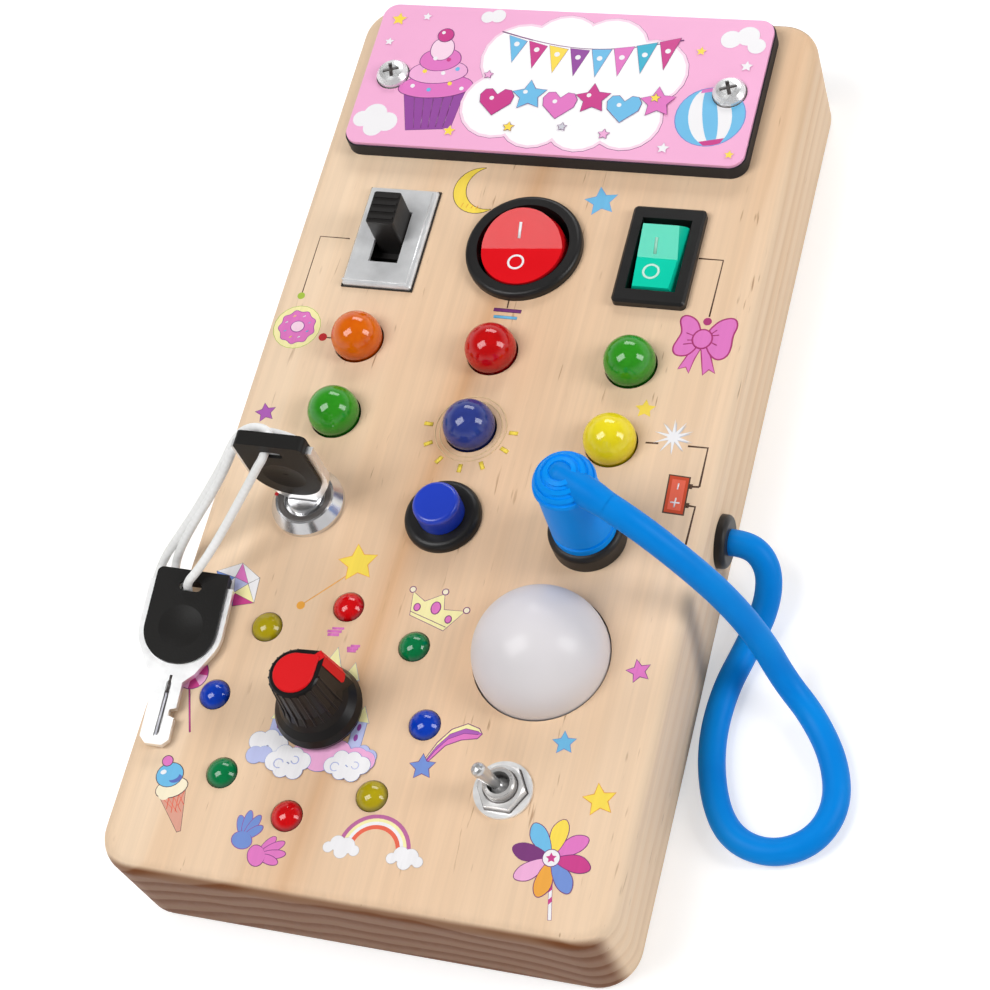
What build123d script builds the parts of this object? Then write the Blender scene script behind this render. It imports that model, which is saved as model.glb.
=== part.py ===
from build123d import *
from math import cos, pi, radians, sin, tan
import os

os.makedirs("parts", exist_ok=True)

# A toddler's wooden busy board, lying on its back. Millimetres. The origin is the centre of the back,
# +X is to the right of the face, +Y is towards the battery cover and +Z is out of the face.
case_width = 100
case_length = 200
case_height = 25
case_corner = 8
face_edge_round = 3
back_edge_round = 1
face_thickness = 5
wall_thickness = 9
back_panel_thickness = 3
back_panel_gap = 0.2
rebate_width = 92.4
ceiling_z = case_height - face_thickness
cavity_width = case_width - 2 * wall_thickness
cavity_length = case_length - 2 * wall_thickness

# Where the fittings stand on the face.
column = 28.6
switch_row_y = 39.7
led_middle_x = -0.45
led_pitch = 28.55
upper_led_row_y = 15.45
lower_led_row_y = -1.95
slide_switch_at = (-column, switch_row_y)
round_rocker_at = (0.3, switch_row_y)
round_rocker_turn = 5
square_rocker_at = (column, switch_row_y + 0.2)
lock_at = (-28.8, -22)
button_at = (-0.85, -21.6)
socket_at = (28.5, -22.1)
knob_at = (-13.85, -63.8)
led_ring_at = (-14.55, -63.75)
dome_at = (25.1, -47)
toggle_at = (24.6, -74)
gland_y = -13.9
gland_z = 12.6
battery_cover_at = (-1.4, 78.5)
battery_tray_at = (-1.4, 77)

fitting_gap = 0.1
slide_gap = 0.05


def write(piece, name):
    piece.label = name
    export_step(piece, f"parts/{name}.step")


def placed(piece, *places):
    with BuildPart() as group:
        with Locations(*places):
            add(piece)
    return group.part


def turned(*outline):
    """A solid of revolution about Z from its outline of (radius, height) points."""
    with BuildPart() as piece:
        with BuildSketch(Plane.XZ):
            with BuildLine():
                Polyline(*outline, close=True)
            make_face()
        revolve(axis=Axis.Z)
    return piece.part


def upright(at, width, length, low, high, corner=0.0):
    """A rectangular block standing at a place, from one height to another."""
    with BuildPart() as block:
        with BuildSketch(Plane.XY.offset(low)):
            with Locations(at):
                if corner:
                    RectangleRounded(width, length, corner)
                else:
                    Rectangle(width, length)
        extrude(amount=high - low)
    return block.part


# Case: one hollowed block of wood with its face drilled for every fitting.
slide_hole = (12.9, 20.9)
round_rocker_hole_radius = 10.9
square_rocker_hole = (12.9, 20.3)
big_led_radius = 5.15
ring_led_radius = 3.0
lock_thread_radius = 5.9
button_thread_radius = 6.5
socket_thread_radius = 5.5
knob_bush_radius = 4.5
dome_radius = 12.9
dome_hole_radius = 13.2
toggle_bush_radius = 3.0
gland_thread_radius = 3.9
tray_width = 55
tray_length = 25
tray_flange_width = 59
tray_flange_length = 29
tray_flange_thickness = 1.2
cover_screw_pitch = 73.2
cover_screw_y = 78
screw_hole_radius = 1.25
ring_radius = 21.25
ring_led_count = 8
ring_led_angles = [360 * step / ring_led_count for step in range(ring_led_count)]


def ring_place(angle, radius=ring_radius):
    return (led_ring_at[0] + radius * cos(radians(angle)), led_ring_at[1] + radius * sin(radians(angle)))


big_led_places = {
    "orange": (led_middle_x - led_pitch, upper_led_row_y),
    "red": (led_middle_x, upper_led_row_y),
    "green_right": (led_middle_x + led_pitch, upper_led_row_y),
    "green_left": (led_middle_x - led_pitch, lower_led_row_y),
    "blue": (led_middle_x, lower_led_row_y),
    "yellow": (led_middle_x + led_pitch, lower_led_row_y),
}
cover_screw_places = [
    (battery_cover_at[0] + 0.2 - cover_screw_pitch / 2, cover_screw_y),
    (battery_cover_at[0] + 0.2 + cover_screw_pitch / 2, cover_screw_y),
]
back_screw_x = 43.4
back_screw_places = [(x, y) for x in (-back_screw_x, back_screw_x) for y in (-84, 0, 84)]
round_holes = [
    (round_rocker_at, round_rocker_hole_radius),
    (lock_at, lock_thread_radius + fitting_gap),
    (button_at, button_thread_radius + fitting_gap),
    (socket_at, socket_thread_radius + fitting_gap),
    (knob_at, knob_bush_radius + fitting_gap),
    (dome_at, dome_hole_radius),
    (toggle_at, toggle_bush_radius + fitting_gap),
]
round_holes += [(place, big_led_radius + fitting_gap) for place in big_led_places.values()]
round_holes += [(ring_place(angle), ring_led_radius + fitting_gap) for angle in ring_led_angles]
back_screw_length = 10
back_screw_radius = screw_hole_radius
cover_screw_tip_z = ceiling_z + 0.5

with BuildPart() as wood_case:
    with BuildSketch():
        RectangleRounded(case_width, case_length, case_corner)
    extrude(amount=case_height)
    fillet(wood_case.faces().sort_by(Axis.Z)[-1].edges(), radius=face_edge_round)
    fillet(wood_case.faces().sort_by(Axis.Z)[0].edges(), radius=back_edge_round)
    with BuildSketch():
        RectangleRounded(rebate_width, case_length - case_width + rebate_width, 4.2)
    extrude(amount=back_panel_thickness, mode=Mode.SUBTRACT)
    with BuildSketch(Plane.XY.offset(back_panel_thickness)):
        RectangleRounded(cavity_width, cavity_length, 3)
    extrude(amount=ceiling_z - back_panel_thickness, mode=Mode.SUBTRACT)
    with BuildSketch(Plane.XY.offset(ceiling_z)):
        for place, radius in round_holes:
            with Locations(place):
                Circle(radius)
        with Locations(slide_switch_at):
            Rectangle(*slide_hole)
        with Locations(square_rocker_at):
            Rectangle(*square_rocker_hole)
        with Locations(battery_tray_at):
            Rectangle(tray_width + 4 * fitting_gap, tray_length + 4 * fitting_gap)
    extrude(amount=face_thickness, mode=Mode.SUBTRACT)
    with BuildSketch(Plane.XY.offset(case_height - tray_flange_thickness)):
        with Locations(battery_tray_at):
            Rectangle(tray_flange_width + 4 * fitting_gap, tray_flange_length + 4 * fitting_gap)
    extrude(amount=tray_flange_thickness, mode=Mode.SUBTRACT)
    with BuildSketch(Plane.XY.offset(cover_screw_tip_z)):
        with Locations(*cover_screw_places):
            Circle(screw_hole_radius)
    extrude(amount=case_height - cover_screw_tip_z, mode=Mode.SUBTRACT)
    with BuildSketch(Plane.XY.offset(back_panel_thickness)):
        with Locations(*back_screw_places):
            Circle(screw_hole_radius)
    extrude(amount=back_screw_length - back_panel_thickness, mode=Mode.SUBTRACT)
    with BuildSketch(Plane.YZ.offset(cavity_width / 2 - 1)):
        with Locations((gland_y, gland_z)):
            Circle(gland_thread_radius + fitting_gap)
    extrude(amount=wall_thickness + 2, mode=Mode.SUBTRACT)
write(wood_case.part, "wood_case")

# Back panel and its six countersunk screws, whose heads face down and lie flush.
back_screw_head_radius = 2.3
back_screw_head_depth = 1.1
back_panel_width = rebate_width - 2 * back_panel_gap
with BuildPart() as back_panel:
    with BuildSketch():
        RectangleRounded(back_panel_width, case_length - case_width + back_panel_width, 4)
    extrude(amount=back_panel_thickness)
    with Locations(*back_screw_places):
        with Locations(Rot(180, 0, 0)):
            CounterSinkHole(back_screw_radius + fitting_gap, back_screw_head_radius + fitting_gap)
write(back_panel.part, "back_panel")

back_screw = turned(
    (0, 0),
    (back_screw_head_radius, 0),
    (back_screw_radius, back_screw_head_depth),
    (back_screw_radius, back_screw_length - 1),
    (0, back_screw_length),
)
write(placed(back_screw, *back_screw_places), "back_panel_screws")

# Battery cover: a raised black plate, a printed sheet on it, and two pan-head screws.
cover_width = 86.5
cover_length = 36.9
cover_corner = 3.5
cover_base_top = case_height + 3.2
cover_print_top = case_height + 4
cover_hole_radius = 1.5
cover_print_inset = 0.35
cover_screw_head_radius = 3.4

with BuildPart() as battery_cover:
    with BuildSketch(Plane.XY.offset(case_height)):
        with Locations(battery_cover_at):
            RectangleRounded(cover_width, cover_length, cover_corner)
        with Locations(*cover_screw_places):
            Circle(cover_hole_radius, mode=Mode.SUBTRACT)
    extrude(amount=cover_base_top - case_height)
write(battery_cover.part, "battery_cover")

with BuildPart() as cover_print:
    with BuildSketch(Plane.XY.offset(cover_base_top)):
        with Locations(battery_cover_at):
            RectangleRounded(
                cover_width - 2 * cover_print_inset,
                cover_length - 2 * cover_print_inset,
                cover_corner - cover_print_inset,
            )
        with Locations(*cover_screw_places):
            Circle(cover_hole_radius, mode=Mode.SUBTRACT)
    extrude(amount=cover_print_top - cover_base_top)
write(cover_print.part, "cover_print")

cover_screw_head_top = cover_print_top + 2
phillips_length = 3.6
phillips_width = 0.8
phillips_depth = 1.2
cover_screw_turned = turned(
    (0, cover_screw_tip_z),
    (screw_hole_radius, cover_screw_tip_z + 1),
    (screw_hole_radius, cover_print_top),
    (cover_screw_head_radius, cover_print_top),
    (cover_screw_head_radius, cover_print_top + 0.8),
    (cover_screw_head_radius - 0.8, cover_screw_head_top - 0.3),
    (cover_screw_head_radius - 1.9, cover_screw_head_top),
    (0, cover_screw_head_top),
)
with BuildPart() as cover_screw:
    add(cover_screw_turned)
    with BuildSketch(Plane.XY.offset(cover_screw_head_top)):
        with Locations(Rot(0, 0, 20)):
            Rectangle(phillips_length, phillips_width)
            Rectangle(phillips_width, phillips_length)
    extrude(amount=-phillips_depth, mode=Mode.SUBTRACT)
write(placed(cover_screw.part, *cover_screw_places), "battery_cover_screws")

# Battery tray in the face, with two AAA cells side by side and a contact at each end.
tray_wall = 1.2
tray_bottom = 11
cell_radius = 5.25
cell_length = 43.7
cell_nub_radius = 1.9
cell_nub_length = 0.9
cell_pitch = 10.9
cell_axis_z = tray_bottom + tray_wall + cell_radius + slide_gap
contact_thickness = 0.4
contact_size = 8.6
spring_length = 7.2
tray_inside = tray_width - 2 * tray_wall

with BuildPart() as battery_tray:
    with BuildSketch(Plane.XY.offset(tray_bottom)):
        with Locations(battery_tray_at):
            Rectangle(tray_width, tray_length)
    extrude(amount=case_height - tray_bottom)
    with BuildSketch(Plane.XY.offset(case_height - tray_flange_thickness)):
        with Locations(battery_tray_at):
            Rectangle(tray_flange_width, tray_flange_length)
    extrude(amount=tray_flange_thickness)
    with BuildSketch(Plane.XY.offset(tray_bottom + tray_wall)):
        with Locations(battery_tray_at):
            Rectangle(tray_inside, tray_length - 2 * tray_wall)
    extrude(amount=case_height - tray_bottom - tray_wall, mode=Mode.SUBTRACT)
write(battery_tray.part, "battery_tray")

cell_middle = (battery_tray_at[0] + (spring_length - contact_thickness) / 2 - 0.5, battery_tray_at[1])
with BuildPart() as battery_cell:
    with BuildSketch(Plane.YZ):
        Circle(cell_radius)
    extrude(amount=cell_length / 2, both=True)
    with BuildSketch(Plane.YZ.offset(cell_length / 2)):
        Circle(cell_nub_radius)
    extrude(amount=cell_nub_length)
write(
    placed(
        battery_cell.part,
        (cell_middle[0], cell_middle[1] - cell_pitch / 2, cell_axis_z),
        (cell_middle[0], cell_middle[1] + cell_pitch / 2, cell_axis_z),
    ),
    "battery_cells",
)

contact_left_x = battery_tray_at[0] - tray_inside / 2
contact_right_x = battery_tray_at[0] + tray_inside / 2
cell_left_x = cell_middle[0] - cell_length / 2
with BuildPart() as battery_contacts:
    for side in (-1, 1):
        contact_y = battery_tray_at[1] + side * cell_pitch / 2
        with BuildSketch(Plane.YZ.offset(contact_left_x)):
            with Locations((contact_y, cell_axis_z)):
                Rectangle(contact_size, contact_size)
        extrude(amount=contact_thickness)
        with BuildSketch(Plane.YZ.offset(contact_left_x + contact_thickness)):
            with Locations((contact_y, cell_axis_z)):
                Circle(3.2)
        with BuildSketch(Plane.YZ.offset(cell_left_x)):
            with Locations((contact_y, cell_axis_z)):
                Circle(2)
        loft()
        with BuildSketch(Plane.YZ.offset(contact_right_x - contact_thickness)):
            with Locations((contact_y, cell_axis_z)):
                Rectangle(contact_size, contact_size)
        extrude(amount=contact_thickness)
write(battery_contacts.part, "battery_contacts")

# Slide switch: black housing through the face, metal plate over it, and a stem with a wider shoe below.
slide_body_low = 12
slide_flange_top = case_height + 0.4
slide_plate_top = case_height + 1.2
slide_body_size = (12.6, 20.6)
slide_channel_size = (9, 18.4)
slide_shoe_size = (8.6, 10.2)
slide_plate_width = 15
slide_plate_length = 23.8
slide_slot_width = 6.35
slide_slot_length = 12.4
slide_channel_low = 18
slide_stem_width = 5.9
slide_stem_length = 7.6
slide_stem_top = 33.3
slide_shoe_top = 22
slide_travel = 4.4
slide_stem_at = (slide_switch_at[0], slide_switch_at[1] + slide_travel / 2 + 0.1)
slide_rib_count = 4
slide_rib_pitch = 1.7
slide_rib_height = 0.35

with BuildPart() as slide_switch_housing:
    add(upright(slide_switch_at, *slide_body_size, slide_body_low, case_height))
    add(upright(slide_switch_at, slide_plate_width + 0.5, slide_plate_length + 0.5, case_height, slide_flange_top))
    add(upright(slide_switch_at, *slide_channel_size, slide_channel_low, slide_flange_top), mode=Mode.SUBTRACT)
write(slide_switch_housing.part, "slide_switch_housing")

with BuildPart() as slide_switch_plate:
    with BuildSketch(Plane.XY.offset(slide_flange_top)):
        with Locations(slide_switch_at):
            RectangleRounded(slide_plate_width, slide_plate_length, 0.5)
            Rectangle(slide_slot_width, slide_slot_length, mode=Mode.SUBTRACT)
    extrude(amount=slide_plate_top - slide_flange_top)
    plate_face = slide_switch_plate.faces().sort_by(Axis.Z)[-1]
    chamfer(plate_face.outer_wire().edges(), length=0.35)
write(slide_switch_plate.part, "slide_switch_plate")

with BuildPart() as slide_switch_actuator:
    add(upright(slide_stem_at, slide_stem_width, slide_stem_length, slide_shoe_top, slide_stem_top, 0.5))
    add(upright(slide_stem_at, *slide_shoe_size, slide_channel_low + 0.3, slide_shoe_top))
    for step in range(slide_rib_count):
        rib_y = slide_stem_at[1] + (step - (slide_rib_count - 1) / 2) * slide_rib_pitch
        rib_at = (slide_stem_at[0], rib_y)
        add(upright(rib_at, slide_stem_width - 0.6, 0.7, slide_stem_top, slide_stem_top + slide_rib_height))
write(slide_switch_actuator.part, "slide_switch_actuator")

# Rocker switches. Each cap is built tilted about its pin, with its lower half pressed level.
rocker_hinge_z = 22
rocker_tilt = 12
rocker_top_z = 27.3
rocker_valley = (rocker_top_z - rocker_hinge_z) / cos(radians(rocker_tilt))
rocker_skirt = 2.3
rocker_slope_low = 3.2
rocker_bezel_top = case_height + 2
rocker_body_low = 10
rocker_chamber_low = 13
rocker_pin_radius = 1.2
round_bezel_radius = 12.1
round_cap_radius = 8.8
round_cap_taper = 10
round_chamber_radius = 9.6
round_pin_reach = 10.4
square_body_size = (12.6, 20)
square_bezel_size = (15, 22.6)
square_cap_size = (9.7, 15.5)
square_cap_taper = 18
square_chamber = (10.2, 16.8)
square_pin_reach = 6


def rocker_level(height):
    """The cap's own tilted plane at a height over its pin."""
    tilt = radians(rocker_tilt)
    out = Vector(0, -sin(tilt), cos(tilt))
    return Plane(origin=Vector(0, 0, rocker_hinge_z) + out * height, x_dir=(1, 0, 0), z_dir=out)


def rocker_cap(outline, taper, pin_reach):
    """Straight walls below, walls leaning in above, a shallow valley on top, and the pin."""
    slope = tan(radians(rocker_tilt))
    far = 12
    with BuildPart() as cap:
        with BuildSketch(rocker_level(-rocker_skirt)):
            add(outline)
        extrude(amount=rocker_skirt + rocker_slope_low)
        with BuildSketch(rocker_level(rocker_slope_low)):
            add(outline)
        extrude(amount=2 * rocker_slope_low, taper=taper)
        with BuildSketch(Plane(origin=(0, 0, rocker_hinge_z), x_dir=rocker_level(0).y_dir, z_dir=(1, 0, 0))):
            with BuildLine():
                Polyline(
                    (-far, -rocker_skirt),
                    (far, -rocker_skirt),
                    (far, rocker_valley + far * slope),
                    (0, rocker_valley),
                    (-far, rocker_valley + far * slope),
                    close=True,
                )
            make_face()
        extrude(amount=far, both=True, mode=Mode.INTERSECT)
        with BuildSketch(Plane.YZ):
            with Locations((0, rocker_hinge_z)):
                Circle(rocker_pin_radius)
        extrude(amount=pin_reach - slide_gap, both=True)
    return cap.part


def rocker_chamber(outline, pin_reach):
    """What is cut from a bezel: the cap's chamber, and the holes for its pin."""
    with BuildPart() as chamber:
        with BuildSketch(Plane.XY.offset(rocker_chamber_low)):
            add(outline)
        extrude(amount=rocker_bezel_top - rocker_chamber_low)
        with BuildSketch(Plane.YZ):
            with Locations((0, rocker_hinge_z)):
                Circle(rocker_pin_radius + slide_gap)
        extrude(amount=pin_reach, both=True)
    return chamber.part


round_rocker_place = Location((*round_rocker_at, 0), (0, 0, round_rocker_turn))
with BuildPart() as round_rocker_bezel:
    with BuildSketch(Plane.XY.offset(rocker_body_low)):
        Circle(round_rocker_hole_radius - fitting_gap)
    extrude(amount=case_height - rocker_body_low)
    with BuildSketch(Plane.XY.offset(case_height)):
        Circle(round_bezel_radius)
    extrude(amount=rocker_bezel_top - case_height)
    fillet(round_rocker_bezel.faces().sort_by(Axis.Z)[-1].edges(), radius=1.0)
    with BuildSketch() as round_chamber_outline:
        Circle(round_chamber_radius)
    add(rocker_chamber(round_chamber_outline.sketch, round_pin_reach), mode=Mode.SUBTRACT)
write(placed(round_rocker_bezel.part, round_rocker_place), "round_rocker_bezel")

with BuildSketch() as round_cap_outline:
    Circle(round_cap_radius)
round_rocker_cap = rocker_cap(round_cap_outline.sketch, round_cap_taper, round_pin_reach)
write(placed(round_rocker_cap, round_rocker_place), "round_rocker_cap")

with BuildPart() as square_rocker_bezel:
    add(upright((0, 0), *square_body_size, rocker_body_low, case_height))
    with BuildSketch(Plane.XY.offset(case_height)):
        RectangleRounded(*square_bezel_size, 1)
    extrude(amount=rocker_bezel_top - case_height)
    chamfer(square_rocker_bezel.faces().sort_by(Axis.Z)[-1].edges(), length=0.5)
    with BuildSketch() as square_chamber_outline:
        Rectangle(*square_chamber)
    add(rocker_chamber(square_chamber_outline.sketch, square_pin_reach), mode=Mode.SUBTRACT)
write(placed(square_rocker_bezel.part, square_rocker_at), "square_rocker_bezel")

with BuildSketch() as square_cap_outline:
    RectangleRounded(*square_cap_size, 0.6)
square_rocker_cap = rocker_cap(square_cap_outline.sketch, square_cap_taper, square_pin_reach)
write(placed(square_rocker_cap, square_rocker_at), "square_rocker_cap")

# Solder tags under the three switches.
tag_low = 4.5
with BuildPart() as switch_terminals:
    for step in (-1, 0, 1):
        tag_at = (slide_switch_at[0], slide_switch_at[1] + 5 * step)
        add(upright(tag_at, 2.2, 0.5, tag_low + 2, slide_body_low))
    for at in (round_rocker_at, square_rocker_at):
        for step in (-1, 1):
            add(upright((at[0], at[1] + 5 * step), 4.8, 0.8, tag_low, rocker_body_low))
write(switch_terminals.part, "switch_terminals")

# LEDs: a flange under the face, a neck through it, a round lens over it, and two leads into a circuit board.
led_flange_low = ceiling_z - 1.2
big_lens_centre_z = 26.6
big_lens_low = 24.8
ring_lens_ball = 3.5
ring_lens_centre_z = 23.3
ring_lens_low = 25.1
lead_radius = 0.3
lead_spacing = 2.54
lead_low = 11
led_board_low = 12
led_board_top = 13.6
led_board_at = (0, 7)
led_board_size = (74, 30)
ring_board_low = 14
ring_board_top = 15.6
ring_board_outer = 25.6
ring_board_inner = 15.5


def led(ball_radius, ball_centre_z, lens_low):
    """A lens that is part of a ball, on a neck as wide as the ball is at the lens's foot."""
    neck = (ball_radius**2 - (lens_low - ball_centre_z) ** 2) ** 0.5
    with BuildPart() as lens:
        with BuildSketch(Plane.XZ):
            with BuildLine():
                Polyline(
                    (0, ball_centre_z + ball_radius),
                    (0, led_flange_low),
                    (neck + 0.9, led_flange_low),
                    (neck + 0.9, ceiling_z),
                    (neck, ceiling_z),
                    (neck, lens_low),
                )
                RadiusArc((neck, lens_low), (0, ball_centre_z + ball_radius), -ball_radius)
            make_face()
        revolve(axis=Axis.Z)
    return lens.part


big_led = led(big_led_radius, big_lens_centre_z, big_lens_low)
ring_led = led(ring_lens_ball, ring_lens_centre_z, ring_lens_low)
write(placed(big_led, big_led_places["orange"]), "led_orange")
write(placed(big_led, big_led_places["red"]), "led_red")
write(placed(big_led, big_led_places["green_left"], big_led_places["green_right"]), "led_green_pair")
write(placed(big_led, big_led_places["blue"]), "led_blue")
write(placed(big_led, big_led_places["yellow"]), "led_yellow")
ring_colours = {
    "ring_leds_red": (90, 270),
    "ring_leds_yellow": (135, 315),
    "ring_leds_blue": (0, 180),
    "ring_leds_green": (45, 225),
}
for name, angles in ring_colours.items():
    write(placed(ring_led, *[ring_place(angle) for angle in angles]), name)


def lead_pair(place):
    return [(place[0] - lead_spacing / 2, place[1]), (place[0] + lead_spacing / 2, place[1])]


board_lead_places = [lead for place in big_led_places.values() for lead in lead_pair(place)]
ring_lead_places = [lead for angle in ring_led_angles for lead in lead_pair(ring_place(angle))]
with BuildPart() as led_leads:
    with BuildSketch(Plane.XY.offset(lead_low)):
        with Locations(*board_lead_places, *ring_lead_places):
            Circle(lead_radius)
    extrude(amount=led_flange_low - lead_low)
write(led_leads.part, "led_leads")

# Boards hang under the face on spacers, each held by a screw from below.
board_spacer_places = [(x, led_board_at[1] + y) for x in (-14.3, 14.3) for y in (-12.4, 12.4)]
ring_spacer_places = [ring_place(angle + 22.5, 22.6) for angle in (0, 90, 180, 270)]
spacer_radius = 2.2
board_screw_radius = 0.9

with BuildPart() as led_board:
    with BuildSketch(Plane.XY.offset(led_board_low)):
        with Locations(led_board_at):
            RectangleRounded(*led_board_size, 2)
        with Locations(*board_lead_places):
            Circle(lead_radius + slide_gap, mode=Mode.SUBTRACT)
        with Locations(*board_spacer_places):
            Circle(board_screw_radius + slide_gap, mode=Mode.SUBTRACT)
    extrude(amount=led_board_top - led_board_low)
write(led_board.part, "led_board")

with BuildPart() as ring_led_board:
    with BuildSketch(Plane.XY.offset(ring_board_low)):
        with Locations(led_ring_at):
            Circle(ring_board_outer)
            Circle(ring_board_inner, mode=Mode.SUBTRACT)
        with Locations(*ring_lead_places):
            Circle(lead_radius + slide_gap, mode=Mode.SUBTRACT)
        with Locations(*ring_spacer_places):
            Circle(board_screw_radius + slide_gap, mode=Mode.SUBTRACT)
    extrude(amount=ring_board_top - ring_board_low)
write(ring_led_board.part, "ring_led_board")

board_supports = [
    (board_spacer_places, led_board_low, led_board_top),
    (ring_spacer_places, ring_board_low, ring_board_top),
]
with BuildPart() as board_spacers:
    for places, low, top in board_supports:
        with BuildSketch(Plane.XY.offset(top)):
            with Locations(*places):
                Circle(spacer_radius)
                Circle(board_screw_radius + slide_gap, mode=Mode.SUBTRACT)
        extrude(amount=ceiling_z - top)
write(board_spacers.part, "board_spacers")

with BuildPart() as board_screws:
    for places, low, top in board_supports:
        with BuildSketch(Plane.XY.offset(low)):
            with Locations(*places):
                Circle(board_screw_radius)
        extrude(amount=ceiling_z - low - 0.5)
        with BuildSketch(Plane.XY.offset(low)):
            with Locations(*places):
                Circle(2)
        extrude(amount=-1.2)
write(board_screws.part, "board_screws")

# White dome light: a hollow diffuser clamped under the face by a cup that carries one LED.
dome_flange_radius = 14.5
dome_flange_low = ceiling_z - 1.5
dome_centre_z = 25.3
dome_wall = 1.2
dome_cup_low = 9

with BuildPart() as dome_turned:
    with BuildSketch(Plane.XZ):
        with BuildLine():
            Polyline(
                (dome_radius - dome_wall, dome_centre_z),
                (dome_radius - dome_wall, dome_flange_low),
                (dome_flange_radius, dome_flange_low),
                (dome_flange_radius, ceiling_z),
                (dome_radius, ceiling_z),
                (dome_radius, dome_centre_z),
            )
            RadiusArc((dome_radius, dome_centre_z), (0, dome_centre_z + dome_radius), -dome_radius)
            Line((0, dome_centre_z + dome_radius), (0, dome_centre_z + dome_radius - dome_wall))
            RadiusArc(
                (0, dome_centre_z + dome_radius - dome_wall),
                (dome_radius - dome_wall, dome_centre_z),
                dome_radius - dome_wall,
            )
        make_face()
    revolve(axis=Axis.Z)
write(placed(dome_turned.part, dome_at), "dome_diffuser")

dome_cup = turned(
    (0, dome_cup_low),
    (dome_flange_radius, dome_cup_low),
    (dome_flange_radius, dome_flange_low),
    (dome_radius - dome_wall, dome_flange_low),
    (dome_radius - dome_wall, dome_cup_low + 1.5),
    (0, dome_cup_low + 1.5),
)
write(placed(dome_cup, dome_at), "dome_holder")

dome_led_top = 24
dome_led = turned(
    (0, dome_cup_low + 1.5),
    (6, dome_cup_low + 1.5),
    (6, dome_cup_low + 3),
    (4, dome_cup_low + 3),
    (4, dome_led_top - 3),
    (2.8, dome_led_top - 0.8),
    (0, dome_led_top),
)
write(placed(dome_led, dome_at), "dome_led")

# Cam lock: threaded body, and a barrel that turns in it with its cam below.
barrel_radius = 3.55
lock_low = 8
lock_top = 28
barrel_top = 28.3
keyway_width = 5.9
keyway_thickness = 1.9
keyway_low = 14.5
cam_thickness = 1.6

lock_body = turned(
    (barrel_radius + slide_gap, lock_low),
    (lock_thread_radius, lock_low),
    (lock_thread_radius, case_height),
    (7.3, case_height),
    (7.3, case_height + 1.1),
    (5.9, lock_top),
    (5.4, lock_top),
    (4.1, lock_top - 0.8),
    (barrel_radius + slide_gap, lock_top - 0.8),
)
write(placed(lock_body, lock_at), "lock_body")

with BuildPart() as lock_barrel:
    with BuildSketch(Plane.XY.offset(lock_low)):
        with Locations(lock_at):
            Circle(barrel_radius)
    extrude(amount=barrel_top - lock_low)
    chamfer(lock_barrel.faces().sort_by(Axis.Z)[-1].edges(), length=0.3)
    with BuildSketch(Plane.XY.offset(lock_low)):
        with Locations(lock_at, (lock_at[0], lock_at[1] + 8)):
            Circle(barrel_radius + 0.4)
        with Locations((lock_at[0], lock_at[1] + 4)):
            Rectangle(2 * (barrel_radius + 0.4), 8)
    extrude(amount=-cam_thickness)
    with BuildSketch(Plane.XY.offset(keyway_low)):
        with Locations(lock_at):
            Rectangle(keyway_width, keyway_thickness)
    extrude(amount=barrel_top - keyway_low, mode=Mode.SUBTRACT)
write(lock_barrel.part, "lock_barrel")

# Nuts that clamp the threaded fittings under the face, and the one under the knob.
nut_thickness = 2.5
panel_nut_fits = [
    (lock_at, lock_thread_radius, 8.0),
    (button_at, button_thread_radius, 8.6),
    (socket_at, socket_thread_radius, 7.8),
]
knob_nut_thickness = 1.8
with BuildPart() as panel_nuts:
    with BuildSketch(Plane.XY.offset(ceiling_z - nut_thickness)):
        for place, thread, across in panel_nut_fits:
            with Locations(place):
                RegularPolygon(across, 6, major_radius=False)
                Circle(thread, mode=Mode.SUBTRACT)
    extrude(amount=nut_thickness)
    with BuildSketch(Plane.XY.offset(case_height)):
        with Locations(knob_at):
            RegularPolygon(5.2, 6, major_radius=False)
            Circle(knob_bush_radius, mode=Mode.SUBTRACT)
    extrude(amount=knob_nut_thickness)
write(panel_nuts.part, "panel_nuts")

# Keys. Both are drawn on a plane whose origin is the middle of the head's top edge, with -y down the blade.
key_length = 35
key_cover_width = 14
key_cover_straight = 12
key_cover_thickness = 3
key_plate_width = 16.4
key_plate_thickness = 1.6
key_plate_top = 2.5
key_shank_width = 5.6
key_shoulder_v = 22.3
key_slot_v = 3.3
key_slot = (4.5, 2.0)
key_dimple_v = 11.5
key_dimple_radius = 4.3
key_dimple_depth = 0.55
key_groove_width = 0.9
key_groove_depth = 0.3
key_notch_v = 28.5

lock_key_top_z = 50.6
lock_key_plane = Plane(origin=(*lock_at, lock_key_top_z), x_dir=(1, 0, 0), z_dir=(0, -1, 0))

# The spare key lies over the left edge of the case, propped by the string under its head.
spare_key_top = (-45.8, -41.1, 28.5)
spare_key_roll = 10
spare_up_the_blade = Vector(-0.05, 1, 0.055).normalized()
spare_level = spare_up_the_blade.cross(Vector(0, 0, 1)).normalized()
spare_across = spare_level.rotate(Axis((0, 0, 0), tuple(spare_up_the_blade)), spare_key_roll)
spare_key_plane = Plane(origin=spare_key_top, x_dir=spare_across, z_dir=spare_across.cross(spare_up_the_blade))


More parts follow.
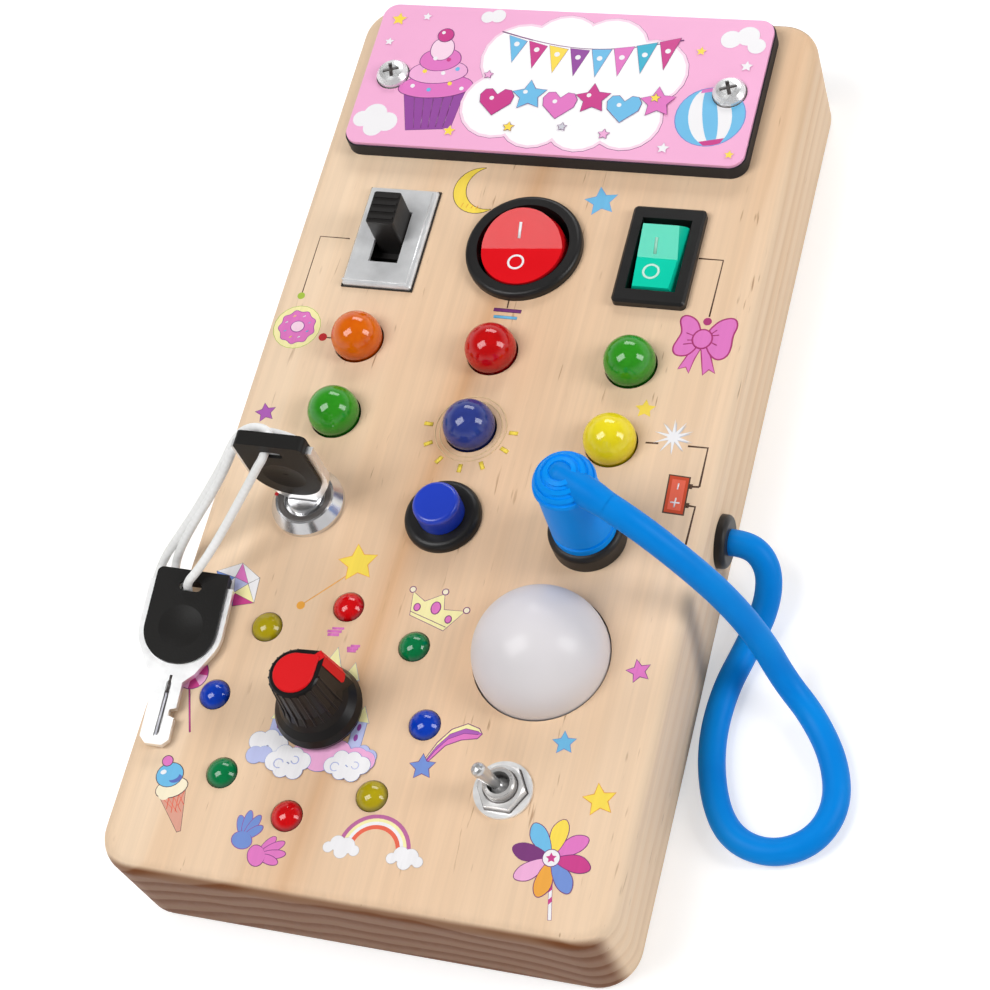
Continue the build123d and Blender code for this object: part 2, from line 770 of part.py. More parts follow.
def key_blade(plane):
    half_plate = key_plate_width / 2
    half_shank = key_shank_width / 2
    plate_height = key_cover_straight - key_plate_top
    with BuildPart() as blade:
        with BuildSketch(plane):
            with Locations((0, -key_plate_top - plate_height / 2)):
                Rectangle(key_plate_width, plate_height)
            with Locations((0, -key_cover_straight)):
                Circle(half_plate)
            with BuildLine():
                Polyline(
                    (-7.2, -15.9),
                    (-4.7, -20.4),
                    (-half_shank, -key_shoulder_v),
                    (-half_shank, -key_length + 1.2),
                    (-half_shank + 1.2, -key_length),
                    (half_shank - 1.2, -key_length),
                    (half_shank, -key_length + 1.2),
                    (half_shank, -key_notch_v - 1),
                    (half_shank - 1.2, -key_notch_v - 0.6),
                    (half_shank - 1.2, -key_notch_v + 0.6),
                    (half_shank, -key_notch_v + 1),
                    (half_shank, -key_shoulder_v),
                    (4.7, -20.4),
                    (7.2, -15.9),
                    close=True,
                )
            make_face()
            with Locations((0, -key_slot_v)):
                SlotOverall(*key_slot, mode=Mode.SUBTRACT)
        extrude(amount=key_plate_thickness / 2, both=True)
        for side in (-1, 1):
            face = plane.offset(side * key_plate_thickness / 2)
            with BuildSketch(face):
                with Locations((0.3, -(key_shoulder_v + key_length) / 2 + 1)):
                    SlotOverall(10.5, key_groove_width, rotation=90)
            extrude(amount=-side * key_groove_depth, mode=Mode.SUBTRACT)
    return blade.part


def key_cover(plane, blade):
    dimple_ball = (key_dimple_radius**2 + key_dimple_depth**2) / (2 * key_dimple_depth)
    ball_height = key_cover_thickness / 2 + dimple_ball - key_dimple_depth
    with BuildPart() as cover:
        with BuildSketch(plane) as outline:
            with Locations((0, -key_cover_straight / 2)):
                Rectangle(key_cover_width, key_cover_straight)
            with Locations((0, -key_cover_straight)):
                Circle(key_cover_width / 2)
            fillet(outline.vertices().group_by(Axis((0, 0, 0), tuple(plane.y_dir)))[-1], radius=1.2)
            with Locations((0, -key_slot_v)):
                SlotOverall(*key_slot, mode=Mode.SUBTRACT)
        extrude(amount=key_cover_thickness / 2, both=True)
        with Locations(
            plane.location * Location((0, -key_dimple_v, ball_height)),
            plane.location * Location((0, -key_dimple_v, -ball_height)),
        ):
            Sphere(dimple_ball, mode=Mode.SUBTRACT)
        add(blade, mode=Mode.SUBTRACT)
    return cover.part


lock_blade = key_blade(lock_key_plane)
spare_blade = key_blade(spare_key_plane)
write(lock_blade, "key_blade")
write(key_cover(lock_key_plane, lock_blade), "key_cover")
write(spare_blade, "spare_key_blade")
write(key_cover(spare_key_plane, spare_blade), "spare_key_cover")

# Push button: body with a lipped chamber, a shouldered cap and a return spring under it.
button_low = 8
button_floor = 10
button_chamber_radius = 5.4
button_cap_radius = 4.6
button_rim_radius = 7.6
button_rim_top = case_height + 1.9
button_lip_low = 23.5
button_top = 31.6
button_cap_low = 20.5
spring_radius = 3.4
spring_wire = 0.35
spring_turns = 5

button_bore = button_cap_radius + slide_gap
with BuildPart() as button_turned:
    add(
        turned(
            (0, button_low),
            (button_thread_radius, button_low),
            (button_thread_radius, case_height),
            (button_rim_radius, case_height),
            (button_rim_radius, button_rim_top),
            (button_bore, button_rim_top),
            (button_bore, button_lip_low),
            (button_chamber_radius, button_lip_low),
            (button_chamber_radius, button_floor),
            (0, button_floor),
        )
    )
    outer_rim = button_turned.edges().filter_by(GeomType.CIRCLE).group_by(Axis.Z)[-1]
    fillet(outer_rim.sort_by(SortBy.RADIUS)[-1], radius=1.4)
write(placed(button_turned.part, button_at), "push_button_body")

with BuildPart() as button_cap_turned:
    add(
        turned(
            (0, button_cap_low),
            (button_chamber_radius - slide_gap, button_cap_low),
            (button_chamber_radius - slide_gap, button_lip_low),
            (button_cap_radius, button_lip_low),
            (button_cap_radius, button_top),
            (0, button_top),
        )
    )
    fillet(button_cap_turned.faces().sort_by(Axis.Z)[-1].edges(), radius=0.9)
write(placed(button_cap_turned.part, button_at), "push_button_cap")

spring_height = button_cap_low - button_floor - 2 * spring_wire
with BuildPart() as push_button_spring:
    with BuildLine():
        coil = Helix(
            pitch=spring_height / spring_turns,
            height=spring_height,
            radius=spring_radius,
            center=(*button_at, button_floor + spring_wire),
        )
    with BuildSketch(Plane(origin=coil @ 0, z_dir=coil % 0)):
        Circle(spring_wire)
    sweep(is_frenet=True)
write(push_button_spring.part, "push_button_spring")

# Socket and the blue plug standing in it.
socket_low = 8
socket_top = case_height + 4.5
socket_bore_radius = 2.85
socket_bore_low = 16
plug_pin_radius = 2.8
plug_pin_low = 17

with BuildPart() as socket_turned:
    add(
        turned(
            (0, socket_low),
            (socket_thread_radius, socket_low),
            (socket_thread_radius, case_height),
            (7.3, case_height),
            (7.3, socket_top),
            (socket_bore_radius, socket_top),
            (socket_bore_radius, socket_bore_low),
            (0, socket_bore_low),
        )
    )
    outer_rim = socket_turned.edges().filter_by(GeomType.CIRCLE).group_by(Axis.Z)[-1]
    fillet(outer_rim.sort_by(SortBy.RADIUS)[-1], radius=1.2)
write(placed(socket_turned.part, socket_at), "socket_body")

plug_radius = 6.2
plug_shoulder_radius = 5.7
plug_shoulder_z = 46.5
plug_top_z = 50.9
plug_crown_radius = 1.5
plug_neck_root = Vector(*socket_at, 48.3)
plug_neck_reach = 6.6
plug_neck_start = 1.5
cable_diameter = 5.2
cable_last_bend = (40.5, -27, 46)
plug_neck_direction = (Vector(cable_last_bend) - plug_neck_root).normalized()
plug_exit = plug_neck_root + plug_neck_direction * plug_neck_reach

with BuildPart() as plug_turned:
    with BuildSketch(Plane.XZ):
        with BuildLine():
            Polyline(
                (0, plug_top_z),
                (0, socket_top),
                (plug_radius, socket_top),
                (plug_radius, socket_top + 1.6),
                (plug_radius - 0.4, socket_top + 1.8),
                (plug_radius - 0.4, socket_top + 2.4),
                (plug_radius - 0.05, socket_top + 2.6),
                (plug_shoulder_radius, plug_shoulder_z),
            )
            ThreePointArc((plug_shoulder_radius, plug_shoulder_z), (4.3, 49.5), (plug_crown_radius, plug_top_z))
            Line((plug_crown_radius, plug_top_z), (0, plug_top_z))
        make_face()
    revolve(axis=Axis.Z)
with BuildPart() as plug_body:
    with Locations(socket_at):
        add(plug_turned.part)
    with BuildSketch(Plane(origin=plug_exit, z_dir=plug_neck_direction)):
        Circle(cable_diameter / 2 + 0.15)
    extrude(amount=plug_neck_start - plug_neck_reach)
write(plug_body.part, "plug_body")

with BuildPart() as plug_pin:
    with BuildSketch(Plane.XY.offset(plug_pin_low)):
        with Locations(socket_at):
            Circle(plug_pin_radius)
    extrude(amount=socket_top - plug_pin_low)
    chamfer(plug_pin.faces().sort_by(Axis.Z)[0].edges(), length=0.5)
write(plug_pin.part, "plug_pin")

# Cable gland through the right side, closed by the cable that starts on its face.
gland_radius = 5.25
gland_face_x = case_width / 2 + 2
gland_inner_x = cavity_width / 2 - 2.4
with BuildPart() as side_gland:
    with BuildSketch(Plane.YZ.offset(gland_inner_x)):
        with Locations((gland_y, gland_z)):
            Circle(gland_thread_radius)
    extrude(amount=case_width / 2 - gland_inner_x)
    with BuildSketch(Plane.YZ.offset(case_width / 2)):
        with Locations((gland_y, gland_z)):
            Circle(gland_radius)
    extrude(amount=gland_face_x - case_width / 2)
    fillet(side_gland.faces().sort_by(Axis.X)[-1].edges(), radius=1)
    with BuildSketch(Plane.YZ.offset(gland_inner_x)):
        with Locations((gland_y, gland_z)):
            RegularPolygon(5.6, 6, major_radius=False)
    extrude(amount=cavity_width / 2 - gland_inner_x)
write(side_gland.part, "side_gland")

# The patch cable runs from the gland down the side, loops on the table and rises to the plug.
cable_route = [
    (gland_face_x, gland_y, gland_z),
    (55.3, gland_y, gland_z),
    (58.4, -15.4, 10.8),
    (59.9, -18.4, 7.9),
    (59.4, -23.4, 4.4),
    (57.2, -30.5, 2.6),
    (54.5, -40.5, 2.6),
    (54.3, -52, 2.6),
    (57.6, -63.2, 2.6),
    (62.65, -69.3, 2.6),
    (70.4, -70.6, 2.6),
    (77.2, -66.7, 2.6),
    (79.9, -59.3, 2.6),
    (77.7, -50.8, 2.6),
    (72.2, -42.8, 2.8),
    (66.3, -37.9, 6.5),
    (62.6, -34.4, 15.5),
    (57.5, -32.3, 27.5),
    (49.5, -30, 38.5),
    cable_last_bend,
    tuple(plug_exit),
]
cable_cut_x = 49.5
cable_cut_gap = 0.2

# The string joins the keys: a loop through both heads, and a loose tail beside it.
string_diameter = 1.6
string_loop_on_key = [
    (-37.0, -31.1, 39.4),
    (-34.2, -27.9, 42.9),
    (-31.5, -25.9, 46.1),
    (-30.2, -24.6, 47.3),
    (-30.2, -19.4, 47.3),
    (-31.6, -18.1, 48.2),
    (-34.4, -18.2, 49.0),
    (-37.3, -19.4, 47.3),
    (-39.0, -22.4, 44.5),
    (-39.8, -26.2, 41.0),
]
string_tail_on_key = [
    (-35.4, -17.2, 51.2),
    (-38.4, -17.8, 49.2),
    (-40.7, -20.4, 45.6),
    (-41.2, -23.8, 42.4),
]
string_loop_on_spare = [
    (-37.7, -32.0, 38.5),
    (-41.2, -36.3, 34.6),
    (-44.9, -42.6, 32.1),
    (-46.3, -44.6, 31.1),
    (-47.15, -44.4, 26.1),
    (-48.9, -43.7, 25.7),
    (-50.8, -42.0, 26.2),
    (-51.3, -39.0, 27.2),
    (-48.7, -36.3, 30.0),
    (-45.2, -31.8, 34.8),
    (-40.6, -27.8, 39.8),
]
string_tail_on_spare = [
    (-42.2, -26.2, 41.0),
    (-47.4, -32.2, 33.8),
    (-52.8, -37.4, 28.6),
    (-55.0, -42.0, 26.3),
    (-54.6, -46.8, 25.9),
    (-52.2, -50.6, 25.9),
]


def corner_radii(route):
    """As large as the two runs at each corner allow."""
    radii = []
    for before, here, after in zip(route, route[1:], route[2:]):
        run_in = Vector(here) - Vector(before)
        run_out = Vector(after) - Vector(here)
        half_turn = radians(run_in.get_angle(run_out)) / 2
        radii.append(0.45 * min(run_in.length, run_out.length) / tan(half_turn))
    return radii


def cord_tube(route, diameter, name):
    radii = corner_radii(route)
    with BuildPart() as tube:
        with BuildLine() as path:
            FilletPolyline(*route, radius=radii)
        with BuildSketch(Plane(origin=path.wire() @ 0, z_dir=path.wire() % 0)):
            Circle(diameter / 2)
        sweep()
    length = path.wire().length
    print(name, "length", round(length, 1), "volume", round(tube.part.volume, 2))
    print("  section times length", round(pi * diameter**2 / 4 * length, 2))
    print("  radii", [round(radius, 1) for radius in radii])
    return tube.part


cable = cord_tube(cable_route, cable_diameter, "cable")
with BuildPart() as cable_case_end:
    add(cable)
    split(bisect_by=Plane.YZ.offset(cable_cut_x + cable_cut_gap), keep=Keep.TOP)
write(cable_case_end.part, "cable_case_end")
with BuildPart() as cable_plug_end:
    add(cable)
    split(bisect_by=Plane.YZ.offset(cable_cut_x), keep=Keep.BOTTOM)
write(cable_plug_end.part, "cable_plug_end")

with BuildPart() as string_key_end:
    add(cord_tube(string_loop_on_key, string_diameter, "string loop on the key"))
    add(cord_tube(string_tail_on_key, string_diameter, "string tail on the key"))
write(string_key_end.part, "string_key_end")
with BuildPart() as string_spare_end:
    add(cord_tube(string_loop_on_spare, string_diameter, "string loop on the spare"))
    add(cord_tube(string_tail_on_spare, string_diameter, "string tail on the spare"))
write(string_spare_end.part, "string_spare_end")

# Rotary switch, its shaft, and the knob with a pointer and a red teardrop on top.
rotary_low = 8
rotary_body_radius = 12.5
rotary_bush_top = 27
shaft_radius = 3
shaft_low = 10
shaft_top = 39
knob_low = 25.8
knob_top = 42
knob_skirt_radius = 8.5
knob_top_radius = 4.8
knob_cap_radius = 3.9
knob_cap_top = 42.4
knob_cap_depth = 1
knob_cap_point = (5.0, 0.5)
knob_recess_top = 28.6
knob_recess_radius = 6.3
pointer_angle = 45
pointer_tip = 0.8
pointer_sections = [(27.4, 8.0, 3.6, 4.6), (knob_top, 6.2, 3.2, 3.5)]

rotary_switch_body = turned(
    (0, rotary_low),
    (rotary_body_radius, rotary_low),
    (rotary_body_radius, ceiling_z),
    (knob_bush_radius, ceiling_z),
    (knob_bush_radius, rotary_bush_top),
    (shaft_radius + slide_gap, rotary_bush_top),
    (shaft_radius + slide_gap, shaft_low),
    (0, shaft_low),
)
write(placed(rotary_switch_body, knob_at), "rotary_switch_body")

with BuildPart() as rotary_shaft:
    with BuildSketch(Plane.XY.offset(shaft_low)):
        with Locations(knob_at):
            Circle(shaft_radius)
    extrude(amount=shaft_top - shaft_low)
write(rotary_shaft.part, "rotary_shaft")

knob_profile = turned(
    (0, knob_low),
    (knob_skirt_radius - 0.3, knob_low),
    (knob_skirt_radius, knob_low + 1.2),
    (7.9, 28.6),
    (6.7, 30),
    (6.0, 31.4),
    (5.5, 33.5),
    (knob_top_radius, knob_top - 0.3),
    (knob_top_radius - 0.3, knob_top),
    (0, knob_top),
)
with BuildSketch() as knob_cap_outline:
    Circle(knob_cap_radius)
    with Locations((knob_cap_point[0], 0)):
        Circle(knob_cap_point[1])
    make_hull()
with BuildPart() as knob_straight:
    add(knob_profile)
    for height, reach, root_x, root_y in pointer_sections:
        with BuildSketch(Plane.XY.offset(height)):
            Polygon(
                (0, -root_y),
                (root_x, -root_y),
                (reach, -pointer_tip),
                (reach, pointer_tip),
                (root_x, root_y),
                (0, root_y),
                align=None,
            )
    loft()
    with BuildSketch(Plane.XY.offset(knob_low)):
        Circle(knob_recess_radius)
    extrude(amount=knob_recess_top - knob_low, mode=Mode.SUBTRACT)
    with BuildSketch(Plane.XY.offset(knob_low)):
        Circle(shaft_radius)
    extrude(amount=shaft_top - knob_low, mode=Mode.SUBTRACT)
    with BuildSketch(Plane.XY.offset(knob_top)):
        add(knob_cap_outline.sketch)
    extrude(amount=-knob_cap_depth, mode=Mode.SUBTRACT)
knob_place = Location((*knob_at, 0), (0, 0, pointer_angle))
write(placed(knob_straight.part, knob_place), "knob_body")

with BuildPart() as knob_cap:
    with BuildSketch(Plane.XY.offset(knob_top - knob_cap_depth)):
        add(knob_cap_outline.sketch)
    extrude(amount=knob_cap_top - knob_top + knob_cap_depth)
    chamfer(knob_cap.faces().sort_by(Axis.Z)[-1].edges(), length=0.2)
write(placed(knob_cap.part, knob_place), "knob_cap")

# Toggle switch: body below, bush and nut above, and a lever on a ball that leans to the left.
toggle_hinge_z = 26
toggle_lean = 16
toggle_body_low = 9
toggle_body_size = (13.2, 8)
toggle_bush_top = 29.2
toggle_bore_radius = 2.15
toggle_ball_radius = 2.1
toggle_tip_radius = 1.35
toggle_reach = 8.4
toggle_washer_radius = 5.5
toggle_nut_across = 8
washer_top = case_height + 0.6
toggle_nut_top = case_height + 2.4

with BuildPart() as toggle_body:
    add(upright(toggle_at, *toggle_body_size, toggle_body_low, ceiling_z, 0.6))
    with BuildSketch(Plane.XY.offset(ceiling_z)):
        with Locations(toggle_at):
            Circle(toggle_bush_radius)
    extrude(amount=toggle_bush_top - ceiling_z)
    chamfer(toggle_body.faces().sort_by(Axis.Z)[-1].edges(), length=0.3)
    with BuildSketch(Plane.XY.offset(toggle_hinge_z - 4)):
        with Locations(toggle_at):
            Circle(toggle_bore_radius)
    extrude(amount=toggle_bush_top - toggle_hinge_z + 4, mode=Mode.SUBTRACT)
write(toggle_body.part, "toggle_body")

with BuildPart() as toggle_washer:
    with BuildSketch(Plane.XY.offset(case_height)):
        with Locations(toggle_at):
            Circle(toggle_washer_radius)
            Circle(toggle_bush_radius, mode=Mode.SUBTRACT)
    extrude(amount=washer_top - case_height)
write(toggle_washer.part, "toggle_washer")

nut_corner_radius = toggle_nut_across / 2 / cos(radians(30))
nut_outline = turned(
    (toggle_bush_radius, washer_top),
    (nut_corner_radius, washer_top),
    (nut_corner_radius, toggle_nut_top - 0.35),
    (toggle_nut_across / 2, toggle_nut_top),
    (toggle_bush_radius, toggle_nut_top),
)
with BuildPart() as toggle_nut:
    with BuildSketch(Plane.XY.offset(washer_top)):
        RegularPolygon(toggle_nut_across / 2, 6, major_radius=False)
    extrude(amount=toggle_nut_top - washer_top)
    add(nut_outline, mode=Mode.INTERSECT)
write(placed(toggle_nut.part, toggle_at), "toggle_nut")

lever_turned = turned(
    (0, -2.6),
    (0.9, -2.6),
    (0.9, -1.6),
    (toggle_ball_radius, -0.3),
    (toggle_ball_radius, 0.3),
    (1.75, 1.3),
    (1.05, 2.4),
    (toggle_tip_radius, toggle_reach - 0.6),
    (toggle_tip_radius, toggle_reach + 0.3),
    (1.2, toggle_reach + 0.8),
    (0.8, toggle_reach + 1.2),
    (0, toggle_reach + 1.4),
)
with BuildPart() as toggle_lever:
    with Locations(Location((*toggle_at, toggle_hinge_z), (0, -toggle_lean, 0))):
        add(lever_turned)
write(toggle_lever.part, "toggle_lever")
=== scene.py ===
# Wooden busy board: cable, string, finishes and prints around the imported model.
import math

import bmesh
import bpy
from mathutils import Matrix, Vector


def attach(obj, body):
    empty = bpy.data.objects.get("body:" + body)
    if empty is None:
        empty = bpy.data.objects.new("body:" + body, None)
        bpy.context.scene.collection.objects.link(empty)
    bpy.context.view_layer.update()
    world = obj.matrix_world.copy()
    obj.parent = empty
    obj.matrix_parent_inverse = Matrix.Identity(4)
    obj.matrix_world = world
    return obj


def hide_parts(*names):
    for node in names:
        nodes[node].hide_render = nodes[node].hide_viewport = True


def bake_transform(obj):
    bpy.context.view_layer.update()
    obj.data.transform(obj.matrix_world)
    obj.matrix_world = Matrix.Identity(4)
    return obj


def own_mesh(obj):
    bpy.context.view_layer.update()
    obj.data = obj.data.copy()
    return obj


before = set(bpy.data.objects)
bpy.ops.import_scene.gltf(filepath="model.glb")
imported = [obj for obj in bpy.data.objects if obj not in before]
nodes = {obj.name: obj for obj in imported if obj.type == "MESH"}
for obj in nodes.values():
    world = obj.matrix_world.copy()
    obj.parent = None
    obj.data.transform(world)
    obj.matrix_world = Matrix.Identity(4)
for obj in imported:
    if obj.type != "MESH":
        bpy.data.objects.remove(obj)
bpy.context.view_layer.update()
scene = bpy.context.scene
print("stage: packed model loaded,", len(nodes), "nodes")


def metres(*place):
    return Vector(place) / 1000  # places are written in millimetres


def link(name, data):
    piece = bpy.data.objects.new(name, data)
    scene.collection.objects.link(piece)
    return piece


cameraView = {
    "place": (160.19, -211.78, 426.24),
    "right": (0.94067, 0.24094, -0.23891),
    "up": (-0.10554, 0.87695, 0.46885),
    "back": (0.32248, -0.41582, 0.85035),
    "lens": 89.84,
    "sensor": 36,
    "clip": (0.01, 20),
}
cameraData = bpy.data.cameras.new("studioCamera")
cameraData.lens = cameraView["lens"]
cameraData.sensor_width = cameraView["sensor"]
cameraData.clip_start, cameraData.clip_end = cameraView["clip"]
studioCamera = link("studioCamera", cameraData)
turned = Matrix([cameraView["right"], cameraView["up"], cameraView["back"]]).transposed()
studioCamera.matrix_world = Matrix.Translation(metres(*cameraView["place"])) @ turned.to_4x4()
scene.camera = studioCamera
print("stage: camera set")


def splineMesh(name, route, thickness, steps, rings):
    # a NURBS line with the route as its control points; thickness 0 gives the bare line
    curve = bpy.data.curves.new(name + "Curve", "CURVE")
    curve.dimensions = "3D"
    spline = curve.splines.new("NURBS")
    spline.points.add(len(route) - 1)
    for point, place in zip(spline.points, route):
        point.co = (*metres(*place), 1)
    spline.order_u = 3
    spline.use_endpoint_u = True
    curve.resolution_u = steps
    curve.bevel_depth = thickness / 2000
    curve.bevel_resolution = rings
    curve.use_fill_caps = thickness > 0
    holder = bpy.data.objects.new(name + "Curve", curve)
    mesh = bpy.data.meshes.new_from_object(holder)
    bpy.data.objects.remove(holder)
    bpy.data.curves.remove(curve)
    return mesh


sharpCorner = 0.9  # radians; an edge that turns more than this stays crisp
weldGap = {"cord": 1e-6, "turned": 1e-7, "ink": 1e-8}  # metres between points that become one


def smoothOver(shape):
    for face in shape.faces:
        face.smooth = True
    for edge in shape.edges:
        edge.smooth = not edge.is_manifold or edge.calc_face_angle() < sharpCorner


def cordPiece(name, cord):
    line = splineMesh(name + "Line", cord["route"], 0, cord["steps"], 0)
    path = [vertex.co.copy() for vertex in line.vertices]
    mesh = splineMesh(name, cord["route"], cord["thickness"], cord["steps"], cord["rings"])
    mesh.name = name
    # length along the cord and angle round it, for patterns that follow it
    along = [0.0]
    for first, second in zip(path, path[1:]):
        along.append(along[-1] + (second - first).length)
    finish = bmesh.new()
    finish.from_mesh(mesh)
    bmesh.ops.remove_doubles(finish, verts=finish.verts, dist=weldGap["cord"])
    bmesh.ops.recalc_face_normals(finish, faces=finish.faces)
    distance = finish.verts.layers.float.new("along")
    for vertex in finish.verts:
        nearest = min(range(len(path)), key=lambda index: (path[index] - vertex.co).length_squared)
        vertex[distance] = along[nearest]
    smoothOver(finish)
    finish.to_mesh(mesh)
    finish.free()
    return link(name, mesh), path


patchCable = {
    "thickness": 5.2,
    "length": 0.171,
    "steps": 10,
    "rings": 7,
    "route": [
        (52, -13.9, 12.6), (55.3, -13.9, 12.6), (58.4, -15.4, 10.8), (59.9, -18.4, 7.9), (59.4, -23.4, 4.4),
        (57.2, -30.5, 2.6), (54.5, -40.5, 2.6), (54.3, -52, 2.6), (57.6, -63.2, 2.6), (62.65, -69.3, 2.6),
        (70.4, -70.6, 2.6), (77.2, -66.7, 2.6), (79.9, -59.3, 2.6), (77.7, -50.8, 2.6), (72.2, -42.8, 2.8),
        (66.3, -37.9, 6.5), (62.6, -34.4, 15.5), (57.5, -32.3, 27.5), (49.5, -30, 38.5), (40.5, -27, 46),
        (34.516, -24.557, 47.147),
    ],
    "liftStart": (66.3, -37.9, 6.5),
    "liftEnd": (38.5, -26, 46.6),
}
cable, cablePath = cordPiece("patchCable", patchCable)
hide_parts("cable_case_end", "cable_plug_end")
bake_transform(cable)

keyString = {
    "thickness": 1.75,
    "steps": 8,
    "rings": 4,
    "upperStart": (-38.0, -27.5, 40.6),
    "upperEnd": (-32.4, -21.9, 46.4),
    "lowerStart": (-48.6, -38.1, 29.6),
    "lowerEnd": (-39.7, -29.2, 38.8),
    "parts": {
        "stringUpperLoop": (0.0352, (-36.74, -31.47, 38.95), [
            (-36.74, -31.47, 38.95), (-33.6, -27.7, 42.9), (-31.3, -25.3, 46.1), (-30.2, -24.4, 47.3),
            (-30.2, -19.4, 47.3), (-31.6, -18.2, 47.7), (-34.4, -18.3, 47.9), (-37.2, -19.4, 46.5),
            (-38.51, -23.3, 43.9), (-40.36, -25.69, 41.43)]),
        "stringUpperTail": (0.033, (-34.4, -18.2, 49.0), [
            (-31.4, -18.0, 32.4), (-27.4, -18.0, 32.6), (-26.0, -17.2, 37.0), (-27.2, -16.8, 41.4),
            (-30.6, -17.2, 44.4), (-34.4, -17.8, 45.6), (-37.2, -18.9, 45.9), (-38.5, -20.6, 44.9),
            (-39.98, -23.79, 42.9), (-41.57, -25.74, 41.02)]),
        "stringLowerLoop": (0.0492, (-36.74, -31.47, 38.95), [
            (-36.74, -31.47, 38.95), (-40.33, -35.78, 34.44), (-43.6, -41.9, 32.1), (-45.7, -44.5, 31.1),
            (-47.0, -44.4, 26.1), (-48.9, -43.7, 25.7), (-50.8, -42.0, 26.2), (-51.3, -39.0, 27.2),
            (-49.6, -36.6, 30.4), (-46.0, -32.2, 34.8), (-42.40, -28.32, 38.70), (-40.36, -25.69, 41.43)]),
        "stringLowerTail": (0.0345, (-41.57, -25.74, 41.02), [
            (-41.57, -25.74, 41.02), (-43.96, -28.67, 38.20), (-46.9, -31.8, 34.9), (-50.3, -35.2, 31.4),
            (-53.2, -38.6, 28.6), (-54.6, -42.6, 26.4), (-54.5, -46.8, 25.9), (-52.2, -50.6, 25.9)]),
    },
}
stringPieces = []
for stringName, (stringLength, stringExit, stringRoute) in keyString["parts"].items():
    stringPiece, stringPath = cordPiece(stringName, dict(keyString, route=stringRoute))
    stringPieces.append(stringPiece)
    isUpper = stringName.startswith("stringUpper")
    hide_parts("string_key_end" if isUpper else "string_spare_end")
    if isUpper:
        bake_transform(stringPiece)
    else:
        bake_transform(stringPiece)
print("stage: cable and string laid")


def linear(colour):
    return tuple((c / 255 / 12.92) if c <= 10 else ((c / 255 + 0.055) / 1.055) ** 2.4 for c in colour)


def paint(colour):
    return (*linear(colour), 1)


def newGroup(name, inputs):
    group = bpy.data.node_groups.new(name, "ShaderNodeTree")
    for label, kind, value in inputs:
        socket = group.interface.new_socket(name=label, in_out="INPUT", socket_type="NodeSocket" + kind)
        if value is not None:
            socket.default_value = value
    for label, kind in (("Colour", "Color"), ("Roughness", "Float"), ("Height", "Float")):
        group.interface.new_socket(name=label, in_out="OUTPUT", socket_type="NodeSocket" + kind)
    return group, group.nodes.new("NodeGroupInput").outputs, group.nodes.new("NodeGroupOutput").inputs


def addNode(tree, kind, wires=(), **settings):
    node = tree.nodes.new("ShaderNode" + kind)
    for key, value in settings.items():
        setattr(node, key, value)
    for socket, value in dict(wires).items():
        if isinstance(value, bpy.types.NodeSocket):
            tree.links.new(value, node.inputs[socket])
        else:
            node.inputs[socket].default_value = value
    return node


def noiseOf(tree, source, scale, detail, roughness, distortion=0.0):
    wires = {"Vector": source, "Scale": scale, "Detail": detail, "Roughness": roughness, "Distortion": distortion}
    return addNode(tree, "TexNoise", wires).outputs[0]


def drawnOut(tree, source, scale, detail, roughness, shift=(0, 0, 0)):
    # noise that is finer or longer along each axis
    place = addNode(tree, "Mapping", {"Vector": source, "Scale": scale, "Location": shift}).outputs[0]
    return noiseOf(tree, place, 1.0, detail, roughness)


def ranged(tree, value, low, high, toLow=0.0, toHigh=1.0, easing="LINEAR"):
    wires = {"Value": value, "From Min": low, "From Max": high, "To Min": toLow, "To Max": toHigh}
    return addNode(tree, "MapRange", wires, interpolation_type=easing).outputs[0]


def eased(tree, value, low, high, toLow=0.0, toHigh=1.0):
    return ranged(tree, value, low, high, toLow, toHigh, "SMOOTHSTEP")


def sums(tree, operation, first, second=0.0):
    return addNode(tree, "Math", {0: first, 1: second}, operation=operation).outputs[0]


def times(tree, first, second):
    return sums(tree, "MULTIPLY", first, second)


def plus(tree, first, second):
    return sums(tree, "ADD", first, second)


def swing(tree, value, reach):
    # a value from 0 to 1 moves half the reach to either side
    return times(tree, sums(tree, "SUBTRACT", value, 0.5), reach)


def mixed(tree, factor, first, second, blend="MIX"):
    return addNode(tree, "Mix", {0: factor, 6: first, 7: second}, data_type="RGBA", blend_type=blend).outputs[2]


def greyOf(tree, shade):
    return addNode(tree, "CombineXYZ", {0: shade, 1: shade, 2: shade}).outputs[0]


def shaded(tree, colour, shade):
    return mixed(tree, 1.0, colour, greyOf(tree, shade), "MULTIPLY")


def objectPlace(tree):
    return tree.nodes.new("ShaderNodeTexCoord").outputs["Object"]


